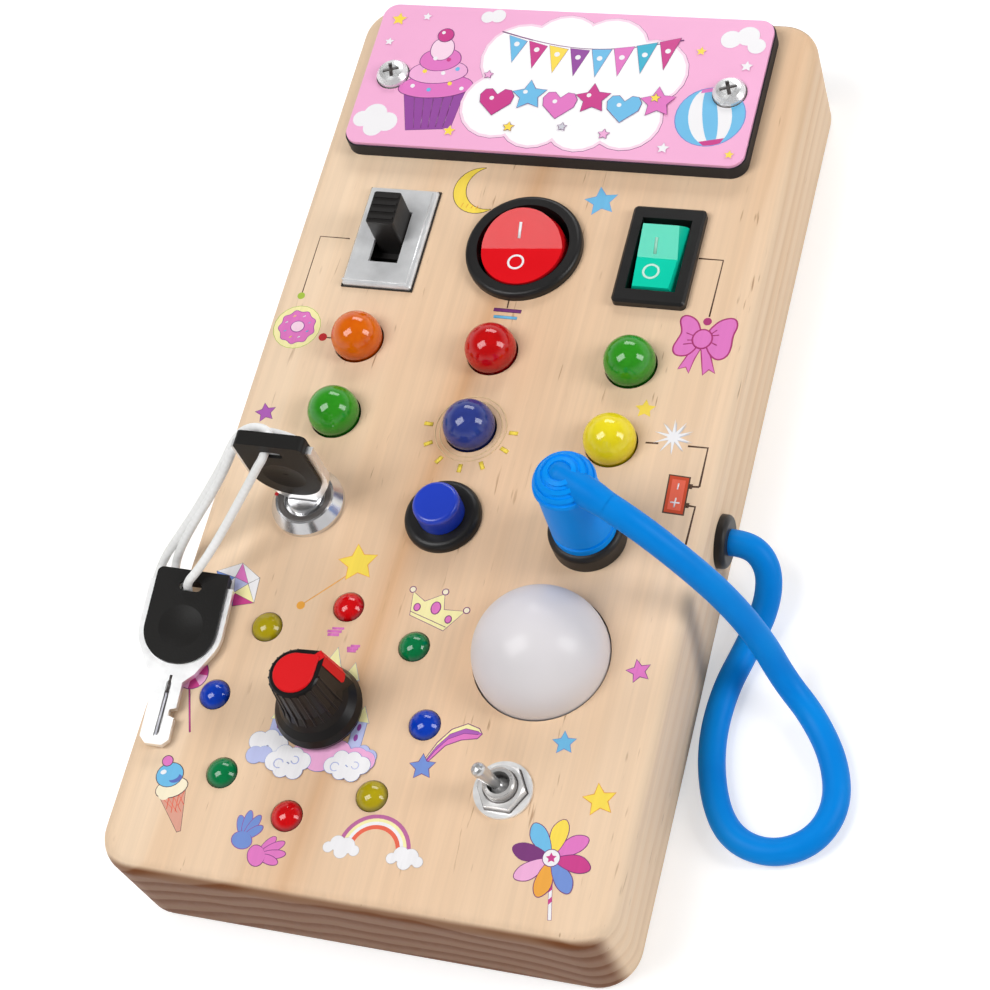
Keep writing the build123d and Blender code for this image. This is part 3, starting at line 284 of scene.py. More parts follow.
# the pine board; the core of its growth rings lies under it
boardWood = {
    "colours": {"Pale": (239, 212, 182), "Band": (212, 170, 126), "Pore": (140, 98, 64), "End": (116, 68, 36),
                "Stain": (207, 150, 98)},
    # stretch along each axis, detail, roughness and shift
    "noises": {
        "wander": ((16, 2.6, 16), 3.0, 0.5, (0, 0, 0)),
        "fibre": ((900, 16, 900), 4.0, 0.6, (0, 0, 0)),
        "patch": ((45, 5, 45), 3.0, 0.55, (0, 0, 0)),
        "poreSpot": ((1500, 150, 1500), 1.0, 0.5, (0, 0, 0)),
        "poreField": ((120, 22, 120), 2.0, 0.5, (3, 1, 2)),
    },
    "core": (0.012, -0.105),
    "ringWander": 0.016,
    "ringsPerMetre": 210.0,
    "ringRise": (0.25, 0.86),
    "ringFall": (1.0, 0.88),
    # broad stained bands: place across the board in millimetres, and depth of the stain
    "stain": [
        (-60, 0.0), (-41, 0.0), (-37, 0.04), (-30, 0.22), (-22, 0.2), (-16, 0.24), (-10, 0.34), (-7, 0.55),
        (-5, 0.82), (-3, 0.6), (-0.6, 0.42), (0.6, 0.25), (1.4, 0.0), (11, 0.04), (13, 0.16), (17, 0.26),
        (18.4, 0.0), (29, 0.02), (33.4, 0.16), (35, 0.0), (39, 0.05), (43, 0.32), (44.5, 0.05), (60, 0.1)],
    "stainReach": 60,
    "stainLean": 0.07,
    "stainWander": 0.012,
    "stainOnSides": (1, 0.3),
    "stainPatch": (0.3, 0.6, 0.55, 1.0),
    "poreSpot": (0.67, 0.80),
    "poreField": (0.50, 0.62),
    "poreDepth": 0.65,
    "endTurn": (0.50, 0.82),
    "sideTurn": (0.35, 0.85),
    "bandDepth": (0.2, 0.32),
    "bandPatch": (0.35, 0.68, 0.25, 1.15),
    "cloudPatch": (0.58, 0.74, 0, 0.24),
    "fibreShade": (0.25, 0.75, 0.93, 1.05),
    "fibreHeight": 0.6,
    "endDepth": (0.84, 1.0),
    "gloss": (0.2, 0.8, 0.46, 0.60),
    "specular": 0.14,
    "relief": (0.25, 0.00012),
}


def buildWoodGroup():
    # growth rings, fibres, pores and a darker sawn end
    wood = boardWood
    inputs = [("Vector", "Vector", None), ("Facing", "Vector", (0, 0, 1))]
    inputs += [(label, "Color", (1, 1, 1, 1)) for label in wood["colours"]]
    tree, given, out = newGroup("woodGrain", inputs)
    noise = {label: drawnOut(tree, given["Vector"], *values) for label, values in wood["noises"].items()}
    place = addNode(tree, "SeparateXYZ", {0: given["Vector"]}).outputs
    across = plus(tree, place[0], -wood["core"][0])
    deep = plus(tree, place[2], -wood["core"][1])
    radius = sums(tree, "SQRT", plus(tree, times(tree, across, across), times(tree, deep, deep)))
    radius = plus(tree, radius, swing(tree, noise["wander"], wood["ringWander"]))
    saw = sums(tree, "FRACT", times(tree, radius, wood["ringsPerMetre"]))
    late = times(tree, eased(tree, saw, *wood["ringRise"]), eased(tree, saw, *wood["ringFall"]))
    # the stain leans a little across the face and ends sharply on one side
    reach = wood["stainReach"]
    drift = sums(tree, "SUBTRACT", place[0], times(tree, place[1], wood["stainLean"]))
    drift = plus(tree, drift, swing(tree, noise["wander"], wood["stainWander"]))
    stain = addNode(tree, "ValToRGB", {0: ranged(tree, drift, -reach / 1000, reach / 1000)})
    stops = stain.color_ramp.elements
    for index, (spot, amount) in enumerate(wood["stain"]):
        stop = stops[index] if index < 2 else stops.new(0.5)
        stop.position = (spot + reach) / (2 * reach)
        stop.color = (amount, amount, amount, 1)
    pore = times(tree, eased(tree, noise["poreSpot"], *wood["poreSpot"]),
                 eased(tree, noise["poreField"], *wood["poreField"]))
    # faces turned to -Y and +Y are cut across the fibres
    facing = addNode(tree, "SeparateXYZ", {0: given["Facing"]}).outputs
    endMask = eased(tree, sums(tree, "ABSOLUTE", facing[1]), *wood["endTurn"])
    sideMask = eased(tree, sums(tree, "ABSOLUTE", facing[0]), *wood["sideTurn"])
    upright = sums(tree, "MAXIMUM", endMask, sideMask)
    bandWeight = times(tree, late, ranged(tree, upright, 0, 1, *wood["bandDepth"]))
    bandWeight = times(tree, bandWeight, ranged(tree, noise["patch"], *wood["bandPatch"]))
    stainWeight = times(tree, stain.outputs[0], ranged(tree, noise["patch"], *wood["stainPatch"]))
    stainWeight = times(tree, stainWeight, ranged(tree, upright, 0, 1, *wood["stainOnSides"]))
    colour = mixed(tree, bandWeight, given["Pale"], given["Band"])
    colour = mixed(tree, ranged(tree, noise["patch"], *wood["cloudPatch"]), colour, given["Band"])
    colour = mixed(tree, stainWeight, colour, given["Stain"])
    colour = shaded(tree, colour, ranged(tree, noise["fibre"], *wood["fibreShade"]))
    endWeight = times(tree, endMask, ranged(tree, late, 0, 1, *wood["endDepth"]))
    colour = mixed(tree, endWeight, colour, given["End"])
    tree.links.new(mixed(tree, times(tree, pore, wood["poreDepth"]), colour, given["Pore"]), out["Colour"])
    tree.links.new(ranged(tree, noise["fibre"], *wood["gloss"]), out["Roughness"])
    tree.links.new(sums(tree, "SUBTRACT", times(tree, noise["fibre"], wood["fibreHeight"]), pore), out["Height"])
    return tree


def buildMouldedGroup():
    # fine spark-eroded grain with slow shade drift, as on moulded plastic
    slowScale, fineShade = 160.0, 0.04
    inputs = [("Vector", "Vector", None), ("Colour", "Color", (1, 1, 1, 1)), ("Drift", "Float", 0.08),
              ("Grain", "Float", 5200.0), ("Gloss", "Float", 0.3), ("Spread", "Float", 0.08)]
    tree, given, out = newGroup("mouldedGrain", inputs)
    slow = noiseOf(tree, given["Vector"], slowScale, 3.0, 0.55)
    fine = noiseOf(tree, given["Vector"], given["Grain"], 2.0, 0.6)
    shade = plus(tree, plus(tree, 1.0, swing(tree, slow, given["Drift"])), swing(tree, fine, fineShade))
    tree.links.new(shaded(tree, given["Colour"], shade), out["Colour"])
    tree.links.new(plus(tree, given["Gloss"], swing(tree, slow, given["Spread"])), out["Roughness"])
    tree.links.new(fine, out["Height"])
    return tree


def buildMetalGroup():
    # plated metal: fine scratches one way, faint cloudy stain
    stainScale, stainShade, stainGloss, scratchShade = 300.0, (0.3, 0.7, 0.90, 1.02), (0.4, 0.8, 0, 0.05), 0.05
    inputs = [("Vector", "Vector", None), ("Colour", "Color", (1, 1, 1, 1)), ("Stretch", "Vector", (1, 1, 1)),
              ("Gloss", "Float", 0.15), ("Spread", "Float", 0.1)]
    tree, given, out = newGroup("platedMetal", inputs)
    place = addNode(tree, "VectorMath", {0: given["Vector"], 1: given["Stretch"]}, operation="MULTIPLY").outputs[0]
    scratch = noiseOf(tree, place, 1.0, 3.0, 0.65)
    stain = noiseOf(tree, given["Vector"], stainScale, 3.0, 0.6)
    shade = plus(tree, ranged(tree, stain, *stainShade), times(tree, scratch, scratchShade))
    tree.links.new(shaded(tree, given["Colour"], shade), out["Colour"])
    rough = plus(tree, swing(tree, scratch, given["Spread"]), ranged(tree, stain, *stainGloss))
    tree.links.new(plus(tree, given["Gloss"], rough), out["Roughness"])
    tree.links.new(scratch, out["Height"])
    return tree


surfaceDepth = {"moulded": 0.00005, "plated": 0.00004, "film": 0.00003}  # metres of relief
glossSpread = {"moulded": 0.1, "plated": 0.12, "film": 0.06}
coatGloss = 0.2
woodGrain = buildWoodGroup()
mouldedGrain = buildMouldedGroup()
platedMetal = buildMetalGroup()


def newMaterial(name, **sockets):
    material = bpy.data.materials.new(name)
    material.use_nodes = True
    tree = material.node_tree
    shader = tree.nodes["Principled BSDF"]
    for label, value in sockets.items():
        shader.inputs[label.replace("_", " ")].default_value = value
    return material, tree, shader


def dress(tree, shader, colour, rough, height=None, strength=0.0, depth=0.0):
    tree.links.new(colour, shader.inputs["Base Color"])
    tree.links.new(rough, shader.inputs["Roughness"])
    if height is not None:
        relief = addNode(tree, "Bump", {"Height": height, "Strength": strength, "Distance": depth})
        tree.links.new(relief.outputs[0], shader.inputs["Normal"])


def plastic(name, colour, gloss, grain, bump, drift, specular, coat):
    material, tree, shader = newMaterial(name, Specular_IOR_Level=specular, Coat_Weight=coat,
                                         Coat_Roughness=coatGloss)
    wires = {"Vector": objectPlace(tree), "Colour": paint(colour), "Drift": drift, "Grain": grain, "Gloss": gloss,
             "Spread": glossSpread["moulded"]}
    source = addNode(tree, "Group", wires, node_tree=mouldedGrain)
    dress(tree, shader, *source.outputs, bump, surfaceDepth["moulded"])
    return material


def metal(name, colour, gloss, stretch, bump, metallic):
    material, tree, shader = newMaterial(name, Metallic=metallic)
    wires = {"Vector": objectPlace(tree), "Colour": paint(colour), "Stretch": stretch, "Gloss": gloss,
             "Spread": glossSpread["plated"]}
    source = addNode(tree, "Group", wires, node_tree=platedMetal)
    dress(tree, shader, *source.outputs, bump, surfaceDepth["plated"])
    return material


def pine():
    material, tree, shader = newMaterial("pine", Specular_IOR_Level=boardWood["specular"])
    wires = {label: paint(colour) for label, colour in boardWood["colours"].items()}
    facing = tree.nodes.new("ShaderNodeTexCoord").outputs["Normal"]
    source = addNode(tree, "Group", dict(wires, Vector=objectPlace(tree), Facing=facing), node_tree=woodGrain)
    dress(tree, shader, *source.outputs, *boardWood["relief"])
    return material


backBoard = {"dark": (150, 112, 74), "pale": (188, 150, 106), "cloud": (140, 104, 70), "fleck": (900, 500, 900),
             "cloudScale": 60.0, "cloudPatch": (0.4, 0.7, 0, 0.35), "gloss": (0.2, 0.8, 0.65, 0.8),
             "relief": (0.3, 0.0001)}


def fibreboard():
    material, tree, shader = newMaterial("fibreboard")
    place = objectPlace(tree)
    fleck = drawnOut(tree, place, backBoard["fleck"], 5.0, 0.7)
    cloud = noiseOf(tree, place, backBoard["cloudScale"], 3.0, 0.5)
    colour = mixed(tree, ranged(tree, fleck, 0.3, 0.7), paint(backBoard["dark"]), paint(backBoard["pale"]))
    colour = mixed(tree, ranged(tree, cloud, *backBoard["cloudPatch"]), colour, paint(backBoard["cloud"]))
    dress(tree, shader, colour, ranged(tree, fleck, *backBoard["gloss"]), fleck, *backBoard["relief"])
    return material


tintedLens = {"specular": 0.5, "ior": 1.5, "scatter": 0.12, "scatterDepth": 0.002, "swirlScale": 260.0,
              "swirl": (0.2, 0.9), "footShadeDepth": 0.7, "gloss": (0.2, 0.8, 0.07, 0.12)}


def lens(name, colour, glow, deep, foot, crown):
    # tinted epoxy, mixed with its glow colour in random swirls; painted shade darkens it towards the foot
    material, tree, shader = newMaterial(
        name, Subsurface_Weight=tintedLens["scatter"], Subsurface_Scale=tintedLens["scatterDepth"],
        Subsurface_Radius=(1.0, 1.0, 1.0), IOR=tintedLens["ior"], Specular_IOR_Level=tintedLens["specular"])
    place = objectPlace(tree)
    swirl = noiseOf(tree, place, tintedLens["swirlScale"], 2.0, 0.5, 0.4)
    low = eased(tree, addNode(tree, "SeparateXYZ", {0: place}).outputs[2], foot, crown, 1, 0)
    tint = mixed(tree, ranged(tree, swirl, *tintedLens["swirl"]), paint(colour), paint(glow))
    # painted shade: the tint darkens towards the foot of the lens
    tint = mixed(tree, times(tree, low, tintedLens["footShadeDepth"]), tint, paint(deep))
    dress(tree, shader, tint, ranged(tree, swirl, *tintedLens["gloss"]))
    return material


dome = {"colour": (220, 216, 218), "cloud": (226, 221, 224), "cloudScale": 55.0, "gloss": (0.3, 0.7, 0.46, 0.54),
        "specular": 0.3, "coat": 0.3}


def diffuser():
    material, tree, shader = newMaterial("milkyDome", Coat_Weight=dome["coat"], Coat_Roughness=coatGloss,
                                         Specular_IOR_Level=dome["specular"])
    cloud = noiseOf(tree, objectPlace(tree), dome["cloudScale"], 2.0, 0.5)
    colour = mixed(tree, ranged(tree, cloud, 0.3, 0.7), paint(dome["colour"]), paint(dome["cloud"]))
    dress(tree, shader, colour, ranged(tree, cloud, *dome["gloss"]))
    return material


cordSkin = {"specular": 0.1, "slowScale": 90.0, "fineScale": 3600.0, "slowShade": (0.3, 0.7, 0, 0.8),
            "twistShade": 0.1, "fineHeight": 0.12, "glossDown": 0.04, "glossUp": 0.06, "relief": (0.3, 0.00008)}


def cordCover(name, colour, pale, gloss, twistPitch, twistDepth):
    # the "along" attribute runs the length of the cord
    material, tree, shader = newMaterial(name, Specular_IOR_Level=cordSkin["specular"])
    along = addNode(tree, "Attribute", attribute_name="along").outputs["Fac"]
    place = objectPlace(tree)
    slow = noiseOf(tree, place, cordSkin["slowScale"], 2.0, 0.5)
    fine = noiseOf(tree, place, cordSkin["fineScale"], 2.0, 0.6)
    twist = sums(tree, "SINE", times(tree, along, math.tau / twistPitch))
    shade = plus(tree, ranged(tree, slow, *cordSkin["slowShade"]), times(tree, twist, cordSkin["twistShade"]))
    rough = ranged(tree, fine, 0.2, 0.8, gloss - cordSkin["glossDown"], gloss + cordSkin["glossUp"])
    height = plus(tree, times(tree, twist, twistDepth), times(tree, fine, cordSkin["fineHeight"]))
    dress(tree, shader, mixed(tree, shade, paint(colour), paint(pale)), rough, height, *cordSkin["relief"])
    return material


printInk = {"woodSpecular": 0.3, "fibreShade": (0.1, 0.5, 0.88, 1.0), "filmCoat": 0.3, "filmGloss": 0.32,
            "filmDrift": 0.03, "filmGrain": 5200.0, "filmBump": 0.05}


def inkOnWood():
    # thin ink lets the fibres of the board show through
    material, tree, shader = newMaterial("woodInk", Specular_IOR_Level=printInk["woodSpecular"])
    source = addNode(tree, "Group", {"Vector": objectPlace(tree)}, node_tree=woodGrain)
    colour = addNode(tree, "Attribute", attribute_name="ink").outputs["Color"]
    shade = ranged(tree, source.outputs["Height"], *printInk["fibreShade"])
    dress(tree, shader, shaded(tree, colour, shade), source.outputs["Roughness"])
    return material


def inkOnFilm():
    material, tree, shader = newMaterial("filmInk", Coat_Weight=printInk["filmCoat"], Coat_Roughness=coatGloss)
    colour = addNode(tree, "Attribute", attribute_name="ink").outputs["Color"]
    wires = {"Vector": objectPlace(tree), "Colour": colour, "Drift": printInk["filmDrift"],
             "Grain": printInk["filmGrain"], "Gloss": printInk["filmGloss"], "Spread": glossSpread["film"]}
    source = addNode(tree, "Group", wires, node_tree=mouldedGrain)
    dress(tree, shader, *source.outputs, printInk["filmBump"], surfaceDepth["film"])
    return material


# colour, roughness, grain, relief, drift of the shade, specular level and coat
mouldings = {
    "blackPlastic": ((34, 32, 31), 0.42, 4200.0, 0.25, 0.1, 0.3, 0),
    "satinBlack": ((30, 29, 29), 0.36, 5200.0, 0.2, 0.1, 0.3, 0),
    "keyBlack": ((29, 28, 27), 0.46, 2600.0, 0.5, 0.1, 0.16, 0),
    "knobBlack": ((14, 11, 11), 0.34, 3000.0, 0.2, 0.3, 0.25, 0),
    "coreBlack": ((32, 33, 37), 0.55, 1800.0, 0.4, 0.1, 0.3, 0),
    "rockerRed": ((222, 18, 28), 0.22, 5200.0, 0.05, 0.12, 0.22, 0),
    "rockerGreen": ((8, 206, 172), 0.22, 5200.0, 0.05, 0.1, 0.3, 0),
    "buttonBlue": ((26, 60, 188), 0.30, 5200.0, 0.1, 0.1, 0.5, 0.2),
    "capRed": ((214, 12, 20), 0.50, 4200.0, 0.3, 0.1, 0.2, 0),
    "plugBlue": ((0, 145, 242), 0.42, 3200.0, 0.15, 0.08, 0.1, 0),
    "plaquePink": ((246, 178, 216), 0.32, 5200.0, 0.05, 0.04, 0.5, 0.3),
    "boardGreen": ((28, 92, 52), 0.35, 2400.0, 0.2, 0.3, 0.5, 0),
    "cellWrap": ((40, 46, 60), 0.28, 2400.0, 0.1, 0.1, 0.5, 0),
}
# colour, roughness, stretch of the scratches, relief and metallic share
platings = {
    "chrome": ((222, 222, 224), 0.20, (300, 300, 2600), 0.05, 0.9),
    "brightNickel": ((246, 246, 246), 0.20, (420, 420, 900), 0.01, 0.3),
    "screwNickel": ((238, 238, 238), 0.27, (1600, 1600, 2600), 0.02, 0.55),
    "nutNickel": ((240, 239, 238), 0.20, (420, 420, 900), 0.01, 0.4),
    # the next nickel is a darker copy, painted shade for the threads of the toggle's bush
    "shadedThreadNickel": ((196, 194, 192), 0.28, (400, 400, 9000), 0.1, 0.5),
    "leverSteel": ((198, 198, 198), 0.22, (900, 900, 2600), 0.05, 0.65),
    "brushedNickel": ((228, 229, 230), 0.34, (3200, 160, 3200), 0.12, 0.4),
    # the dark metal on the next line serves only as painted shade on the lock and round the toggle
    "paintedShadeMetal": ((104, 100, 98), 0.36, (1800, 1800, 2600), 0.2, 0.5),
    "keyNickel": ((252, 252, 252), 0.42, (2200, 260, 2200), 0.05, 1),
    "zinc": ((186, 190, 194), 0.28, (900, 900, 900), 0.1, 1),
    "brass": ((212, 176, 100), 0.24, (900, 900, 2400), 0.08, 1),
}
# colour, glow colour of the swirls, painted shade colour at the foot, and heights of the foot and the crown in metres
largeLens, smallLens = (0.0250, 0.0285), (0.0251, 0.0260)
lenses = {
    "lensOrange": ((214, 92, 2), (232, 118, 10), (170, 58, 0), *largeLens),
    "lensRed": ((184, 6, 9), (206, 14, 16), (112, 0, 3), *largeLens),
    "lensGreen": ((40, 140, 26), (58, 160, 36), (14, 84, 10), *largeLens),
    "lensBlue": ((42, 54, 124), (54, 70, 148), (18, 24, 80), *largeLens),
    "lensYellow": ((236, 214, 20), (246, 228, 44), (182, 158, 2), *largeLens),
    "smallRed": ((204, 6, 14), (220, 14, 20), (84, 0, 4), *smallLens),
    "smallOlive": ((168, 150, 14), (184, 166, 20), (74, 64, 2), *smallLens),
    "smallGreen": ((4, 116, 64), (8, 132, 74), (0, 44, 22), *smallLens),
    "smallBlue": ((8, 54, 172), (12, 68, 194), (2, 20, 80), *smallLens),
}
# colour, pale colour, roughness, pitch of the twist in metres and its depth
cordCovers = {
    "cableBlue": ((0, 128, 218), (2, 138, 226), 0.42, 0.02, 0.0),
    "stringWhite": ((236, 236, 234), (250, 250, 250), 0.5, 0.0011, 0.8),
}
finishes = {"woodInk": inkOnWood(), "filmInk": inkOnFilm(), "pine": pine(), "fibreboard": fibreboard(),
            "milkyDome": diffuser()}
for make, table in ((plastic, mouldings), (metal, platings), (lens, lenses), (cordCover, cordCovers)):
    finishes.update({name: make(name, *values) for name, values in table.items()})
nodeFinish = {
    "pine": ["wood_case"],
    "fibreboard": ["back_panel"],
    "zinc": ["back_panel_screws", "led_leads", "board_screws"],
    "coreBlack": ["battery_cover"],
    "plaquePink": ["cover_print"],
    "chrome": ["lock_body", "lock_barrel"],
    "leverSteel": ["toggle_lever"],
    "nutNickel": ["toggle_nut"],
    "shadedThreadNickel": ["toggle_body"],
    "blackPlastic": ["battery_tray", "slide_switch_housing", "slide_switch_actuator", "dome_holder", "socket_body",
                     "side_gland", "rotary_switch_body"],
    "satinBlack": ["round_rocker_bezel", "square_rocker_bezel", "push_button_body"],
    "keyBlack": ["key_cover", "spare_key_cover"],
    "knobBlack": ["knob_body"],
    "cellWrap": ["battery_cells"],
    "screwNickel": ["battery_cover_screws"],
    "brightNickel": ["battery_contacts", "panel_nuts", "toggle_washer"],
    "brushedNickel": ["slide_switch_plate"],
    "keyNickel": ["key_blade", "spare_key_blade"],
    "rockerRed": ["round_rocker_cap"],
    "rockerGreen": ["square_rocker_cap"],
    "brass": ["switch_terminals", "board_spacers", "plug_pin", "rotary_shaft"],
    "lensOrange": ["led_orange"],
    "lensRed": ["led_red"],
    "lensGreen": ["led_green_pair"],
    "lensBlue": ["led_blue"],
    "lensYellow": ["led_yellow"],
    "smallRed": ["ring_leds_red"],
    "smallOlive": ["ring_leds_yellow"],
    "smallGreen": ["ring_leds_green"],
    "smallBlue": ["ring_leds_blue"],
    "boardGreen": ["led_board", "ring_led_board"],
    "milkyDome": ["dome_diffuser", "dome_led"],
    "buttonBlue": ["push_button_cap"],
    "plugBlue": ["plug_body"],
    "capRed": ["knob_cap"],
}
for finish, names in nodeFinish.items():
    for name in names:
        nodes[name].data.materials.clear()
        nodes[name].data.materials.append(finishes[finish])
cable.data.materials.append(finishes["cableBlue"])
for stringPiece in stringPieces:
    stringPiece.data.materials.append(finishes["stringWhite"])
print("stage: finishes on every node")

# inks of the prints
inkColours = {
    "line": (88, 66, 74), "brown": (88, 62, 46), "moss": (170, 196, 70), "dotRed": (196, 36, 44),
    "violet": (150, 74, 160), "purple": (178, 96, 186), "plum": (122, 52, 120), "pink": (228, 122, 196),
    "rose": (242, 176, 218), "blush": (250, 216, 234), "sky": (112, 190, 232), "blue": (116, 146, 214),
    "lilac": (190, 196, 236), "cream": (250, 240, 176), "sun": (252, 222, 84), "amber": (240, 168, 64),
    "vanilla": (250, 238, 208), "cone": (222, 160, 140), "white": (244, 242, 244), "snow": (255, 253, 254),
    # the third ink on the next line is painted shade for recesses, joints and the spare key's groove
    "coral": (236, 104, 78), "mauve": (190, 104, 158), "groove": (66, 58, 56), "brick": (206, 74, 40),
    "grey": (206, 206, 214), "teal": (60, 178, 206), "magenta": (206, 62, 140), "berry": (176, 54, 118),
    "shadow": (92, 112, 190), "mint": (150, 214, 190), "leaf": (206, 240, 226), "halo": (232, 206, 160),
}
# millimetres: half of a sheet's thickness, a stroke's thickness, how deep each starts, and the step between layers
inkLayer = {"sheet": 0.03, "stroke": 0.06, "sheetSink": 0.03, "strokeSink": 0.026, "step": 0.004}


def arcPoints(centre, radius, start, end, steps):
    turns = (math.radians(start + (end - start) * step / steps) for step in range(steps + 1))
    return [(centre[0] + radius * math.cos(turn), centre[1] + radius * math.sin(turn)) for turn in turns]


def discPoints(centre, radius, tall=None, steps=20):
    tall = tall or radius
    return [(centre[0] + radius * math.cos(math.tau * step / steps),
             centre[1] + tall * math.sin(math.tau * step / steps)) for step in range(steps)]


def starPoints(centre, radius, count, inner, turn):
    points = []
    for index in range(count * 2):
        reach = radius if index % 2 == 0 else radius * inner
        angle = math.radians(turn + index * 180 / count)
        points.append((centre[0] + reach * math.cos(angle), centre[1] + reach * math.sin(angle)))
    return points


def bandPoints(centre, inside, outside, start, end, steps):
    return arcPoints(centre, outside, start, end, steps) + arcPoints(centre, inside, end, start, steps)


def petalPoints(centre, length, width, turn):
    # a leaf that starts at the centre and points along the turn
    angle = math.radians(turn)
    along, aside = (math.cos(angle), math.sin(angle)), (-math.sin(angle), math.cos(angle))
    steps = [(0, 0.12), (0.35, 0.5), (0.75, 0.5), (1, 0.2), (1, -0.2), (0.75, -0.5), (0.35, -0.5), (0, -0.12)]
    return [(centre[0] + along[0] * a * length + aside[0] * b * width,
             centre[1] + along[1] * a * length + aside[1] * b * width) for a, b in steps]


def flatCurve(points, smooth, closed, width, lift):
    # width 0 gives a filled sheet, anything else a flattened stroke of that width
    curve = bpy.data.curves.new("inkCurve", "CURVE")
    curve.dimensions = "3D" if width else "2D"
    spline = curve.splines.new("NURBS" if smooth else "POLY")
    spline.points.add(len(points) - 1)
    for point, (x, y) in zip(spline.points, points):
        point.co = (x, y, 0, 1)
    if smooth:
        spline.order_u = 3
        spline.use_endpoint_u = not closed
        curve.resolution_u = 5
    spline.use_cyclic_u = closed
    if width:
        curve.bevel_depth = width / 2
        curve.bevel_resolution = 1
        curve.use_fill_caps = True
    else:
        curve.fill_mode = "BOTH"
        curve.extrude = inkLayer["sheet"]
    holder = bpy.data.objects.new("inkCurve", curve)
    mesh = bpy.data.meshes.new_from_object(holder)
    bpy.data.objects.remove(holder)
    bpy.data.curves.remove(curve)
    squash = inkLayer["stroke"] / width if width else 1
    lift -= inkLayer["strokeSink" if width else "sheetSink"]
    mesh.transform(Matrix.Translation((0, 0, lift)) @ Matrix.Diagonal((1, 1, squash, 1)))
    return mesh


def printPiece(name, motifs, base, finish="filmInk", body="root"):
    # each motif has its place and slope, and shapes of these kinds, printed over one another in turn:
    # area and soft are filled and outlined, fill has no outline, stroke is an open line and ring a closed one
    whole = bmesh.new()
    ink = whole.verts.layers.float_color.new("ink")
    for motif in motifs:
        place = Matrix.Translation((*motif.get("at", (0, 0)), base + motif.get("rise", 0)))
        for key, axis in (("turn", "Z"), ("lean", "X"), ("roll", "Y")):
            place @= Matrix.Rotation(math.radians(motif.get(key, 0)), 4, axis)
        place @= Matrix.Translation((0, 0, motif.get("lift", 0))) @ Matrix.Scale(motif.get("scale", 1), 4)
        lineColour, lineWidth = motif.get("line", ("line", 0))
        layer = 0.0
        for kind, colour, points, *rest in motif["shapes"]:
            if kind in ("area", "soft", "fill"):
                jobs = [(colour, True, 0)]
                if lineWidth and kind != "fill":
                    jobs.append((lineColour, True, lineWidth))
            else:
                jobs = [(colour, kind == "ring", rest[0])]
            for jobColour, closed, jobWidth in jobs:
                layer += inkLayer["step"]
                shade = paint(inkColours[jobColour])
                mesh = flatCurve(points, kind == "soft", closed, jobWidth, layer)
                mesh.transform(Matrix.Scale(0.001, 4) @ place)
                before = len(whole.verts)
                whole.from_mesh(mesh)
                bpy.data.meshes.remove(mesh)
                whole.verts.ensure_lookup_table()
                for vertex in whole.verts[before:]:
                    vertex[ink] = shade
    bmesh.ops.remove_doubles(whole, verts=whole.verts, dist=weldGap["ink"])
    bmesh.ops.recalc_face_normals(whole, faces=whole.faces)
    mesh = bpy.data.meshes.new(name)
    whole.to_mesh(mesh)
    whole.free()
    mesh.materials.append(finishes[finish])
    piece = link(name, mesh)
    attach(piece, body)


def discs(kind, colour, puffs):
    return [(kind, colour, discPoints((x, y), radius)) for x, y, radius in puffs]


def cloudShapes(colour, puffs):
    # every puff outlined first, then filled again so that only the outer edge keeps its line
    return discs("area", colour, puffs) + discs("fill", colour, puffs)


def circuitMotifs():
    strokes = [
        [(-37.8, 39.2), (-44.4, 39.2), (-44.4, 25.2)], [(-36.9, 15.4), (-34.0, 15.4)], [(-0.1, 28.0), (0, 25.9)],
        [(36.2, 40.9), (41.2, 40.9), (41.1, 27.8)], [(34.7, -1), (37.2, -0.9)],
        [(43.0, -0.85), (46.9, -0.8), (47, -9.2)], [(45.2, -9.3), (47.0, -9.2)],
        [(45.3, -13.3), (47.1, -13.4), (47, -21.4)],
    ]
    lines = [("stroke", "brown", points, 0.42) for points in strokes]
    dots = [("moss", (-44.4, 24.6), 0.8), ("dotRed", (-36.9, 15.4), 0.9), ("berry", (41.0, 26.7), 0.85)]
    lines += [("fill", colour, discPoints(place, radius)) for colour, place, radius in dots]
    lines += [("stroke", "plum", [(-2.7, 25.3), (3.1, 25.3)], 0.85),
              ("stroke", "sky", [(-2.3, 23.7), (2.6, 23.7)], 0.7)]
    battery = [(41.27, -15.2), (45.18, -15.35), (44.84, -7.51), (40.9, -7.33)]
    inside = [(41.9, -14.5), (44.5, -14.6), (44.2, -8.2), (41.6, -8.1)]
    lines += [("fill", "brick", battery), ("ring", "brown", battery, 0.5), ("fill", "coral", inside),
              ("stroke", "brown", [(45.1, -9.3), (45.7, -9.3)], 1.0),
              ("stroke", "brown", [(45.3, -13.3), (45.9, -13.3)], 1.0),
              ("stroke", "white", [(43.0, -8.9), (43.0, -10.2)], 0.35),
              ("stroke", "white", [(43.1, -12.0), (43.1, -14.0)], 0.35),
              ("stroke", "white", [(42.2, -13.0), (44.0, -13.0)], 0.35)]
    # two faint haloes and short rays below the blue light
    rays = [("ring", "halo", discPoints((-0.45, -1.95), radius, None, 36), 0.16) for radius in (6.3, 7.2)]
    for angle in (0, -26, -61, -90, -122, -152, -181):
        x, y = math.cos(math.radians(angle)), math.sin(math.radians(angle))
        rays.append(("stroke", "sun", [(7.9 * x - 0.45, 7.9 * y - 1.95), (9.7 * x - 0.45, 9.7 * y - 1.95)], 0.85))
    return [{"shapes": lines + rays}]


